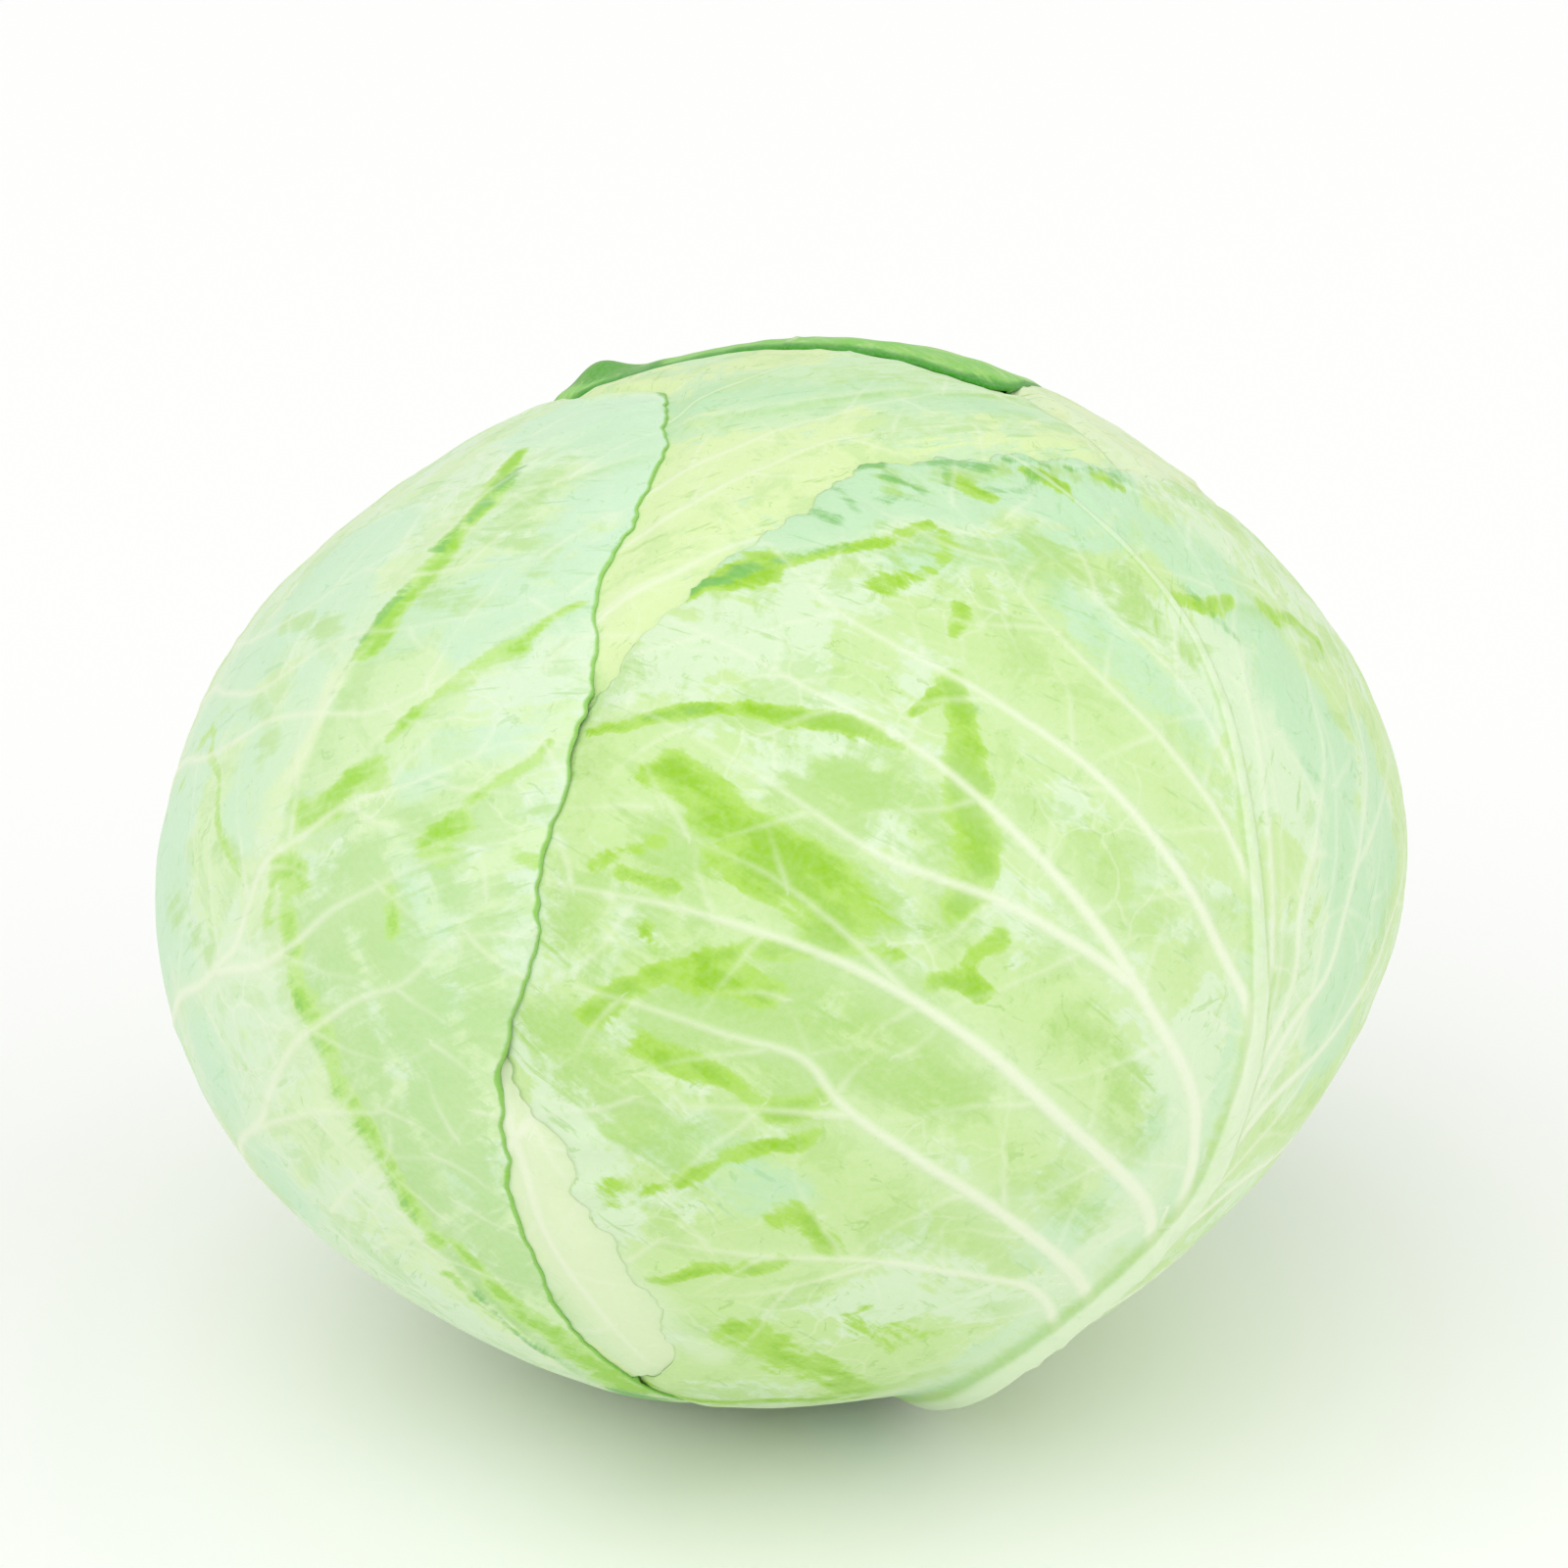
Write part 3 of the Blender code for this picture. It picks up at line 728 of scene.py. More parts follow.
wrapperLeft = {
    **plainLeaf, "name": "wrapperLeft", "node": "leaf_01_left", "slot": "wrapper_leaf", "divisions": 216,
    "look": {
        "bloom": "#DAF0CE", "blade": "#D6EFB8", "deep": "#BBE096", "mint": "#CBECC8", "shade": "#AAD684",
        "rim": "#8CCE4C", "rimWidth": 0.5, "wet": "#9CD63A", "wetPale": "#BCE484", "netStrength": 0.42,
    },
    "outline": [
        (-166, 101), (-150, 95), (-120, 80), (-90, 71), (-60, 66), (-36, 57), (-22, 51), (-12, 51),
        (-5, 54), (3, 57), (5.5, 62), (8, 67.5), (16, 69), (27, 70), (42, 69), (47, 68), (58, 70.3),
        (72, 69.9), (82, 70.8), (93, 70.1), (105, 72.9), (112, 75.1), (118, 77.6), (130, 84), (150, 95),
        (166, 101),
    ],
    "rounding": 1.6, "ruffle": [(9, 0.25), (4.2, 0.2), (1.7, 0.12)],
    "ribLine": [(0, -90), (0, -60), (2, -30), (1, 0), (-2, 30), (-1, 56)],
    "ribHalfWidth": (6.0, 0.8), "ribHeight": (3.4, 0.3),
    "veins": [
        ([(1, -35), (19, -20), (37, -7), (40, 0), (43, 9), (51, 19), (58, 29), (63, 32)], 0.85),
        ([(37, -7), (45, -2), (53, 8), (60, 17), (67, 23)], 0.62),
        ([(1, -59), (14, -43), (27, -32), (40, -21), (50, -8), (60, 3), (64, 9), (70, 13)], 0.9),
        ([(64, 8), (63, 11), (65, 17)], 0.35),
        ([(39, -22), (50, -16), (58, -12), (61, -6), (65, -1), (70, 1)], 0.55),
        ([(45, -30), (57, -19), (64, -14), (70, -5)], 0.5),
        ([(48, -34), (59, -27), (63, -22), (67, -20)], 0.42), ([(30, -50), (49, -28), (55, -22)], 0.5),
        ([(1, -8), (12, 2), (24, 9), (33, 16), (44, 25), (50, 33), (58, 41)], 0.7),
        ([(1, 5), (12, 10), (26, 17), (32, 26), (41, 34), (50, 46)], 0.62),
        ([(32, 35), (39, 43), (44, 48)], 0.42),
        ([(0, 12), (10, 15), (19, 21), (24, 32), (27, 45), (33, 58)], 0.55),
        ([(-1, 25), (6, 32), (12, 45), (16, 60)], 0.5),
        ([(0, -62), (-16, -46), (-34, -30), (-52, -18), (-68, -10)], 0.9),
        ([(1, -40), (-14, -25), (-32, -10), (-48, 5), (-60, 20)], 0.9),
        ([(1, -20), (-12, -4), (-27, 14), (-40, 32), (-48, 46)], 0.85),
        ([(0, 2), (-10, 16), (-21, 33), (-30, 52)], 0.7), ([(-1, 24), (-7, 36), (-12, 52)], 0.5),
    ],
    "twigSpacing": 5.5, "veinHeight": 0.55, "pillow": 0.35, "crumple": 0.08,
    "frill": 0.22, "frillSpacing": 4.0,
    # the midrib of a leaf beneath presses through as a ridge with a step down on its right; painted shade
    # lies on its right and a painted highlight on its left
    "creases": [
        {"line": [(57, -58), (61, -42), (59, -27), (55, -15), (47, 0), (41, 11), (38, 23), (33, 34),
                  (27, 45), (23, 52)],
         "ridge": (0.35, 1.8), "step": (0.4, 1.6), "reach": 16.0, "shade": (0.8, 9.0)},
        {"line": [(43, 9), (45, 15), (48, 29), (49, 38), (51, 46)],
         "ridge": (0.3, 1.4), "step": (0.3, 1.6), "reach": 6.0, "shade": (0.7, 2.2)},
        {"line": [(56, 11), (58, 17), (60, 28), (63, 34)],
         "ridge": (0.25, 1.2), "step": (0.25, 1.6), "reach": 6.0, "shade": (0.8, 2.4)},
        {"line": [(33, 34), (31, 41), (30, 51), (31, 64)],
         "ridge": (0.25, 1.4), "step": (0.25, 2.0), "reach": 6.0, "shade": (0.7, 2.0)},
    ],
    "swells": [(54, 26, 7, -0.5), (60, -8, 8, -0.6), (46, 40, 8, 0.4), (30, -20, 12, 0.6)],
    "wet": [
        ([(19, 51), (24, 47.5), (28.5, 43), (31.5, 39)], (0.8, 1.5), 1.0),
        ([(32, 38), (34.3, 33), (36.5, 29), (37, 26)], (1.3, 0.7), 0.9),
        ([(44, 8), (48, 0), (53, -9), (57, -18), (60, -28)], (0.8, 1.4), 0.75),
        ([(48, 19), (45.7, 14.7), (43, 10.5)], 1.4, 0.8), ([(44, 8), (46, 6.5)], 1.3, 0.75),
        ([(58.4, 19), (57.5, 15.4)], 1.5, 0.8), ([(61, 31), (60.4, 27), (58.5, 21.4)], 0.45, 0.85),
        ([(51, 44.5), (49.7, 40.5), (49.2, 36), (48.7, 29.5), (47, 21.3)], 0.35, 0.7),
        ([(21, 10), (27.7, 8), (34.2, 4), (38.8, 1.6)], 0.35, 0.7),
        ([(55.7, 9.4), (57.2, 7.3)], 0.9, 0.65), ([(64.5, 20), (66.6, 20)], 1.0, 0.65),
        ([(62.5, -28), (64, -38), (65, -44), (63.5, -52), (60, -60)], (1.2, 3.4), 1.0),
        ([(70, -15), (71.5, -21), (71, -27)], (0.3, 0.9), 0.9), ([(58, -34), (60, -42)], 0.8, 0.6),
        ([(50, 37), (49, 30)], 1.0, 0.6), ([(19, 3), (20, 10), (23, 16)], 0.5, 0.5),
        ([(60, 25), (58, 20)], 1.0, 0.5), ([(43, 6), (44, 2)], 1.2, 0.6),
    ],
    "green": [
        ([(46, 2), (54, -10), (60, -24), (62, -38)], 3.6, 0.75),
        ([(52, 10), (62, 0), (66, -14)], 5.0, 0.85), ([(50, 4), (58, -8), (62, -22)], 3.0, 0.8),
        ([(54, 18), (62, 12)], 3.0, 0.7), ([(-14, 4), (-26, 12), (-40, 22)], 5.0, 0.9),
        ([(-22, -22), (-38, -14), (-54, 2)], 5.0, 0.9), ([(-12, 34), (-24, 46), (-34, 58)], 4.0, 0.8),
        ([(-30, -46), (-50, -34), (-66, -24)], 5.0, 0.9), ([(-8, -34), (-16, -44)], 3.0, 0.7),
        ([(26, 54), (34, 46), (44, 44)], 2.0, 0.5), ([(67, -14), (67, -32)], 4.0, 0.75),
        ([(64, 14), (68, 0)], 3.5, 0.7), ([(48, 14), (56, 12)], 3.0, 0.5),
        ([(56, 20), (64, 24)], 3.5, 0.45), ([(21, 22), (29, 25.6), (33.4, 24)], 2.0, 0.65),
        ([(28, 16), (34, 14.4)], 1.8, 0.6), ([(37, 35), (42.4, 38)], 2.5, 0.65),
        ([(33.7, 4), (39.6, 3)], 1.8, 0.6), ([(25, -6), (35, -5)], 2.0, 0.6),
        ([(27, 41.4), (24.4, 44.5), (31.5, 48)], 2.0, 0.65), ([(33.7, 44), (40.7, 46)], 2.2, 0.65),
    ],
    "bloom": [
        ([(16, 56), (26, 62), (40, 54)], 8.0, 1.0), ([(50, 44), (58, 36)], 5.0, 0.8),
        ([(16, -30), (16, 0), (18, 30)], 8.0, 1.0), ([(28, -10), (36, -30), (46, -46)], 8.0, 0.9),
        ([(66, 20), (69, 12)], 2.0, 0.4), ([(14, 20), (22, 30)], 6.0, 0.5),
    ],
    "yellow": [
        ([(42, 30), (52, 22)], 7.0, 0.9), ([(28, 6), (32, 14)], 6.0, 0.7),
        ([(20, -20), (24, -34)], 6.0, 0.5),
    ],
    "white": [([(37, 22), (38.7, 19), (39.8, 14)], 0.7, 1.0)],
    "mint": [
        ([(16, 13), (29, 14), (35, 8)], 4.0, 0.7), ([(33, 22), (36, 31), (42, 43)], 5.0, 0.6),
        ([(12, 56), (24, 64), (38, 60)], 7.0, 1.0), ([(58, 12), (64, -4), (67, -20)], 4.5, 0.5),
        ([(44, 56), (50, 44)], 4.0, 0.9), ([(48, -2), (56, -16)], 3.0, 0.4),
        ([(52, 22), (58, 30)], 4.0, 0.5), ([(34, 54), (42, 46), (46, 36)], 5.0, 0.7),
        ([(20, 0), (30, -12), (38, -30)], 6.0, 0.6), ([(18, -30), (19, 0), (20, 32)], 7.0, 0.9),
        ([(-30, 0), (-44, 14)], 5.0, 0.7), ([(-18, -10), (-30, -4)], 4.0, 0.6),
        ([(-40, -30), (-58, -12)], 5.0, 0.6), ([(24, 34), (32, 24), (38, 10)], 3.0, 0.7),
    ],
    # dark: mostly painted shade down the fold line and at its foot; the rest are dark green marks near the
    # margin
    "dark": [
        ([(23, 50), (27, 45), (31, 38)], 0.8, 0.7), ([(33, 34), (38, 22)], 0.5, 0.6),
        ([(47, 0), (55, -15), (59, -27)], 0.5, 0.5), ([(60, -36), (60, -50)], 0.6, 0.7),
        ([(57, -62), (54, -68), (50, -75)], 3.0, 1.0), ([(70.4, -18), (71.4, -24)], 0.6, 0.8),
        ([(7, 63), (9, 66), (16, 67.5), (26, 68)], 0.8, 0.9), ([(41, 56), (47, 50)], 0.5, 0.4),
    ],
}

wrapperRight = {
    **plainLeaf, "name": "wrapperRight", "node": "leaf_02_right", "slot": "wrapper_leaf", "divisions": 216,
    "look": {
        "bloom": "#D8EEC6", "blade": "#C9E79C", "deep": "#B0D978", "mint": "#C0E6BA", "rib": "#DFF1CC",
        "rim": "#D0ECAE", "rimWidth": 0.22,
    },
    "outline": [
        (-166, 101), (-150, 92), (-141, 86), (-137, 79), (-133, 71), (-128, 65), (-117, 63), (-109, 63.7),
        (-101, 63.3), (-94, 67), (-85, 68), (-70, 66), (-54, 62), (-44, 59.5), (-36, 57), (-29, 56),
        (-16, 55.7), (-2, 50.6), (13, 47.8), (31, 48.5), (45, 54), (60, 62), (90, 70), (120, 78),
        (150, 92), (166, 101),
    ],
    "rounding": 2.2, "ruffle": [(11, 0.45), (4.5, 0.3), (1.8, 0.16)],
    "ribLine": [
        (0, -90), (-11, -66), (-15, -50), (-13, -40), (-9, -32), (-5, -25), (-3.5, -17), (-2, -9),
        (-1, 0), (1, 9), (4, 21), (5, 32), (4, 42), (3, 50),
    ],
    "ribHalfWidth": (9.0, 0.6), "ribHeight": (7.0, 0.35),
    "veins": [
        ([(-1, 2), (-3, 11), (-8, 22), (-11, 32), (-10, 43), (-11, 51)], 0.62),
        ([(1, 11), (0, 20), (-3, 28), (-5, 37), (-5, 48)], 0.5),
        ([(-4, -16), (-3, -8), (-6, -1), (-12, 13), (-20, 24), (-28, 34), (-31, 42), (-32, 50)], 0.85),
        ([(-7, -27), (-8, -16), (-14, -3), (-21, 10), (-28, 21), (-36, 30), (-44, 40)], 0.95),
        ([(-14, -3), (-18, 1), (-25, 7), (-34, 13), (-41, 21), (-46, 27), (-52, 33)], 0.75),
        ([(-8, -31), (-12, -23), (-22, -12), (-29, -4), (-38, 4), (-50, 11), (-62, 16)], 1.0),
        ([(-34, 1), (-38, 7), (-43, 13), (-49, 18), (-55, 26)], 0.5),
        ([(-11, -38), (-18, -29), (-28, -19), (-39, -9), (-43, -3), (-49, 0), (-60, 5)], 0.98),
        ([(-42, -4), (-43, 0), (-45, 5)], 0.34), ([(-42, -3), (-37, -3), (-32, -7)], 0.34),
        ([(-39, -9), (-50, -7), (-56, -6), (-63, -1)], 0.5),
        ([(-13, -42), (-20, -32), (-27, -28), (-36, -25), (-48, -23), (-60, -20)], 0.8),
        ([(-36, -25), (-41, -27), (-47, -29), (-55, -29)], 0.5),
        ([(-3, -11), (1, -2), (2, 4), (5, 12), (9, 22), (14, 32), (18, 44)], 0.6),
        ([(-4, -18), (-1, -12), (3, -7), (6, -1), (10, 5), (14, 10), (18, 17), (23, 26), (29, 38)], 0.66),
        ([(-4, -20), (2, -11), (9, -7), (15, 0), (21, 6), (25, 12), (28, 20), (36, 32)], 0.72),
        ([(-6, -25), (2, -17), (9, -15), (18, -12), (30, -4), (42, 8), (50, 22)], 0.75),
        ([(-5, -23), (2, -14), (8, -5), (13, 4), (17, 14), (20, 24), (22, 36)], 0.55),
        ([(-6, -28), (4, -20), (12, -12), (20, -3), (26, 5), (31, 14)], 0.55),
        ([(-3, -13), (2, -4), (4, 4), (7, 14), (11, 26), (14, 40)], 0.45),
        ([(15, 0), (26, 4), (40, 10), (54, 18)], 0.5),
        ([(-9, -33), (2, -27), (16, -26), (34, -20), (50, -10), (64, 4)], 0.8),
        ([(-14, -46), (4, -40), (26, -38), (46, -34), (66, -24)], 0.85),
    ],
    "twigSpacing": 6.0, "veinHeight": 0.6, "pillow": 0.35, "crumple": 0.08,
    "frill": 0.4, "frillSpacing": 3.2, "rimLift": -0.85,
    "creases": [
        {"line": [(-42, 43), (-37, 43), (-32, 44), (-25, 43.5), (-17, 43), (-12, 44)],
         "ridge": (0.35, 1.4), "step": (0.35, 1.6), "reach": 7.0, "shade": (0.6, 2.0)},
        {"line": [(-58, 31), (-51, 30.5), (-46, 29.5), (-41, 28.5), (-36, 26.5), (-31, 23)],
         "ridge": (0.3, 1.2), "step": (0.25, 1.6), "reach": 6.0, "shade": (0.5, 2.0)},
        {"line": [(6, 28), (14, 26), (19, 24), (26, 20)],
         "ridge": (0.2, 1.4), "step": (0.25, 1.8), "reach": 6.0, "shade": (0.5, 1.8)},
    ],
    "swells": [(-30, -14, 9, 0.5), (-46, 20, 8, 0.4), (-20, 40, 9, -0.5)],
    "wet": [
        ([(-49, 24.6), (-46, 19), (-41, 13.5), (-38, 8.5)], (1.7, 3.3), 1.0),
        ([(-46, 15.5), (-42, 11.5)], 1.6, 0.9),
        ([(-22.3, 25.8), (-24.4, 18.5), (-26.6, 12), (-27.6, 8)], 1.6, 1.0),
        ([(-28, 24.8), (-24, 25.2)], (0.4, 1.2), 0.9), ([(-24.5, 19.6), (-23.5, 15.6)], 0.6, 0.9),
        ([(-31.6, 1.6), (-29.3, 1.8), (-27.8, -0.3)], 1.0, 0.9), ([(-28.2, 3), (-25.8, 3.4)], 0.7, 0.8),
        ([(-59.4, 2), (-56.4, 4.5), (-52.6, 6), (-49, 6.6)], 1.0, 0.9),
        ([(-49, 6.6), (-42, 6.5), (-34.7, 4.2)], (0.9, 0.4), 0.8),
        ([(-50, 5.2), (-45.7, 3.2)], 1.5, 0.95),
        ([(-55.6, -0.2), (-50.3, -4.2), (-45, -7), (-41.5, -8)], 1.0, 0.95),
        ([(-57.4, 16), (-54.4, 17.5), (-51, 18)], 0.6, 0.6), ([(-54.8, 15), (-51, 13.3)], 0.8, 0.8),
        ([(-54, 9.7), (-53, 8.6)], 0.5, 0.6),
        ([(-54.6, 30), (-50.5, 30.3), (-45, 29), (-40.5, 28), (-35.6, 25.4), (-32, 24)], (0.4, 0.8), 1.0),
        ([(-36, 25.4), (-30, 22)], 0.5, 0.8),
        ([(-51, -56.5), (-46, -57.5), (-40, -56), (-33, -54.5)], 1.3, 0.9),
        ([(-43, 43), (-38, 43), (-33, 43.5)], 1.3, 1.0), ([(-33, 43.5), (-25, 43), (-15, 43)], 0.7, 0.7),
        ([(-40, 50), (-37, 50)], 1.2, 0.8), ([(-24, 38), (-17, 38), (-14, 41)], 1.2, 0.55),
        ([(-20, 31), (-18, 33)], 0.9, 0.6), ([(-44, -19), (-41, -22)], 1.8, 0.7),
        ([(-59, -16), (-50, -13), (-42, -10)], 0.9, 0.6),
        ([(-55, -27), (-50, -25), (-45, -25)], 0.7, 0.7), ([(-36, -33), (-30, -38)], 2.2, 0.5),
        ([(-46, -36), (-38, -44), (-30, -52)], 2.6, 0.7), ([(-24, -48), (-30, -56)], 2.4, 0.6),
        ([(6, 28), (14, 26)], 0.9, 0.8), ([(18, 25), (26, 20)], 0.8, 0.7),
        ([(-8, 48), (-6, 45)], 1.0, 0.7), ([(2, 47), (5, 43)], 0.9, 0.7),
        ([(12, 45), (13, 42)], 0.9, 0.7),
    ],
    "green": [
        ([(-51, 17), (-44, 16), (-38, 15)], 3.5, 0.85), ([(-53, 1.5), (-47, 1), (-41, -5)], 4.5, 0.95),
        ([(-31, 22), (-29, 13), (-29, 6)], 3.0, 0.65), ([(-37, 3), (-32, -3)], 3.5, 0.8),
        ([(-58, 15), (-60, 10)], 2.5, 0.75), ([(-63, 2), (-58, -6), (-52, -12)], 4.0, 0.75),
        ([(-39, 20), (-34, 19), (-29, 17)], 3.0, 0.8), ([(-55, 12.5), (-49, 11)], 2.5, 0.6),
        ([(-46, 4), (-38, 1)], 2.5, 0.7), ([(-19, 41), (-8, 36), (1, 30)], 5.0, 0.6),
        ([(-60, 5), (-50, 12)], 4.0, 0.5), ([(-36, 9), (-42, 4), (-49, 2)], 4.0, 0.9),
        ([(-17, -13), (-14, -17)], 3.0, 0.7), ([(-46, 2), (-38, -4), (-30, -8)], 4.0, 0.7),
        ([(-56, 12), (-45, 2)], 4.0, 0.5), ([(-20, -21), (-16, -24)], 2.4, 0.7),
        ([(-16, -10), (-20, -4)], 3.0, 0.45), ([(-10, 18), (-14, 8)], 3.0, 0.4),
        ([(24, -6), (18, -11)], 2.4, 0.5), ([(-26, -2), (-20, -14)], 3.5, 0.35),
        ([(-12, -30), (-20, -46), (-24, -60)], 3.5, 0.5), ([(4, 18), (2, 26)], 2.0, 0.5),
        ([(-14, 50), (-2, 47.5), (12, 44)], 3.2, 0.55), ([(-6, 38), (-1, 33)], 3.2, 0.6),
    ],
    "bloom": [
        ([(8, 20), (12, 6), (14, -6)], 7.0, 1.0), ([(-10, -8), (-10, -20), (-16, -34)], 4.5, 1.0),
        ([(-36, 47), (-14, 50), (10, 45)], 6.0, 0.9), ([(-62, -4), (-60, -20)], 3.0, 0.9),
        ([(-50, 36), (-38, 36), (-30, 38)], 4.0, 0.7), ([(-24, -34), (-34, -32)], 4.0, 0.7),
    ],
    "yellow": [
        ([(-30, 0), (-40, -14)], 7.0, 0.9), ([(-24, 16), (-12, 0)], 6.0, 0.6),
        ([(-46, -22), (-50, -34), (-30, -44)], 8.0, 1.0), ([(-52, 24), (-44, 8)], 6.0, 0.8),
        ([(-14, 30), (-6, 14)], 5.0, 0.5),
    ],
    "white": [
        ([(-9, -16), (-14, -28), (-19, -40), (-24, -56)], (2.5, 5.0), 0.6),
        ([(-63, -22), (-58, -28), (-49, -40)], 2.2, 0.6),
    ],
    "mint": [
        ([(-38, 48), (-16, 50), (10, 44)], (5.0, 7.0), 1.0), ([(-20, 40), (6, 36), (14, 40)], 3.0, 0.6),
        ([(12, 34), (15, 10), (12, -14)], 6.0, 0.8), ([(24, 10), (22, -6)], 4.0, 0.6),
        ([(-8, 34), (-2, 16)], 4.0, 0.5), ([(-12, -16), (-20, -26)], 4.0, 0.6),
        ([(-54, -10), (-44, -16)], 4.0, 0.5),
    ],
    # dark: painted shade along the folds and under the lifted top margin, among dark green flecks in the
    # margin's wrinkles
    "dark": [
        ([(-42, 43), (-38, 43), (-34, 43.6)], 0.7, 0.9), ([(-41, 49), (-38, 52)], 0.9, 0.8),
        ([(-33, 51), (-28, 51)], (1.0, 0.4), 0.7), ([(-26, 50), (-23, 47)], 0.8, 0.6),
        ([(-21, 53.5), (-17, 54), (-13, 53)], (1.3, 0.6), 0.9), ([(-14, 51), (-12, 48)], 0.8, 0.7),
        ([(-10, 52.5), (-6, 51), (-2, 49)], (0.7, 1.2), 0.8), ([(2, 49), (6, 47)], 0.8, 0.7),
        ([(-5, 46), (0, 44)], 0.7, 0.6), ([(9, 46), (13, 45)], 0.7, 0.6),
        ([(-50, 30.2), (-44, 29)], 0.5, 0.5), ([(-21, 24), (-22, 17)], 0.6, 0.4),
        ([(-58, 31), (-54, 30)], 0.6, 0.5), ([(8, 30), (10, 22)], (1.0, 0.4), 0.5),
        ([(11, 12), (13, 6)], (1.2, 0.4), 0.4), ([(4, 48.5), (2, 46), (0.5, 44.8)], 1.3, 0.6),
        ([(17, 45), (13, 43)], 1.6, 0.6), ([(-7, 50), (-9, 47.5)], 0.7, 0.6),
        ([(-18, 48.3), (-14, 47)], 0.6, 0.6), ([(-20.5, 51), (-21, 47)], 0.6, 0.6),
        ([(-35, 43), (-31, 43.6), (-24, 43.2)], 0.4, 0.6),
    ],
}

sideVeins = [
    ([(-2, -58), (-18, -44), (-38, -32), (-60, -24)], 1.0),
    ([(-1, -40), (-14, -24), (-32, -8), (-52, 4)], 1.0),
    ([(-1, -20), (-10, -4), (-26, 14), (-46, 32)], 0.95), ([(0, 0), (-7, 14), (-19, 34), (-32, 54)], 0.8),
    ([(0, 22), (-4, 36), (-10, 60)], 0.6), ([(2, -62), (20, -48), (42, -36), (62, -28)], 1.0),
    ([(1, -44), (16, -28), (36, -14), (58, 0)], 1.0), ([(1, -26), (12, -8), (30, 10), (50, 26)], 0.95),
    ([(0, -6), (9, 10), (24, 30), (38, 50)], 0.8), ([(0, 14), (6, 30), (14, 56)], 0.6),
    ([(-26, 14), (-40, 20), (-56, 22)], 0.5), ([(30, 10), (42, 12), (58, 14)], 0.5),
]

wrapperBack = {
    **plainLeaf, "name": "wrapperBack", "node": "leaf_03_back", "slot": "wrapper_leaf", "divisions": 196,
    "look": {
        "bloom": "#B2E092", "blade": "#A8D968", "deep": "#7CCA40", "mint": "#ACE090", "dark": "#48A014",
        "rim": "#309400", "rimWidth": 3.0,
    },
    "outline": [
        (-166, 101), (-150, 92), (-120, 76), (-90, 68), (-60, 63), (-42, 63), (-33, 66), (-29, 71),
        (-26.5, 78), (-24, 82), (-20.5, 82.5), (-17, 80), (-12, 77.2), (-8, 75.2), (-4, 73.3), (0, 72.4),
        (4, 71.2), (9, 72.2), (14, 73), (18, 74), (24, 76), (40, 78), (60, 74), (90, 72), (120, 78),
        (150, 92), (166, 101),
    ],
    "rounding": 2.0, "ruffle": [(15, 0.4), (6, 0.3), (2, 0.2)],
    "ribLine": [(0, -90), (2, -60), (3, -30), (0, 0), (-3, 30), (-2, 60), (0, 72)],
    "ribHalfWidth": (6.0, 0.7), "ribHeight": (4.2, 0.3),
    "veins": sideVeins,
    "twigSpacing": 6.0, "veinHeight": 0.6, "pillow": 0.4, "crumple": 0.1, "frill": 0.25, "frillSpacing": 4.0,
    "creases": [
        {"line": [(-60, 34), (-44, 30), (-30, 22), (-20, 8)],
         "ridge": (0.3, 1.4), "step": (0.3, 2.0), "reach": 7.0, "shade": (0.6, 3.0)},
    ],
    "swells": [(20, 30, 14, -0.6), (-26, -14, 12, 0.5)],
    "curls": [(25, 59, 4.0, 3.0)],
    "wet": [
        ([(-20, 20), (-12, 6)], 2.4, 0.8), ([(24, -4), (34, -12)], 2.6, 0.8),
        ([(-36, -16), (-26, -24)], 2.4, 0.7),
    ],
    "green": [([(-60, 36), (0, 40), (50, 40)], 12.0, 0.6), ([(-40, 74), (0, 68), (40, 74)], 14.0, 0.7)],
    "bloom": [([(20, 10), (34, -6)], 8.0, 0.7)],
    "yellow": [([(-20, -20), (-30, 0)], 9.0, 0.7)],
    "white": [([(0, -62), (0, -80)], 7.0, 0.5)],
    "mint": [([(-30, 20), (-10, 40)], 9.0, 0.5), ([(20, 40), (34, 10)], 8.0, 0.5)],
    "dark": [([(38, 52), (31, 57), (25, 61), (21, 68)], 4.5, 1.0), ([(-31, 76), (-26, 78)], 3.0, 0.8)],
}

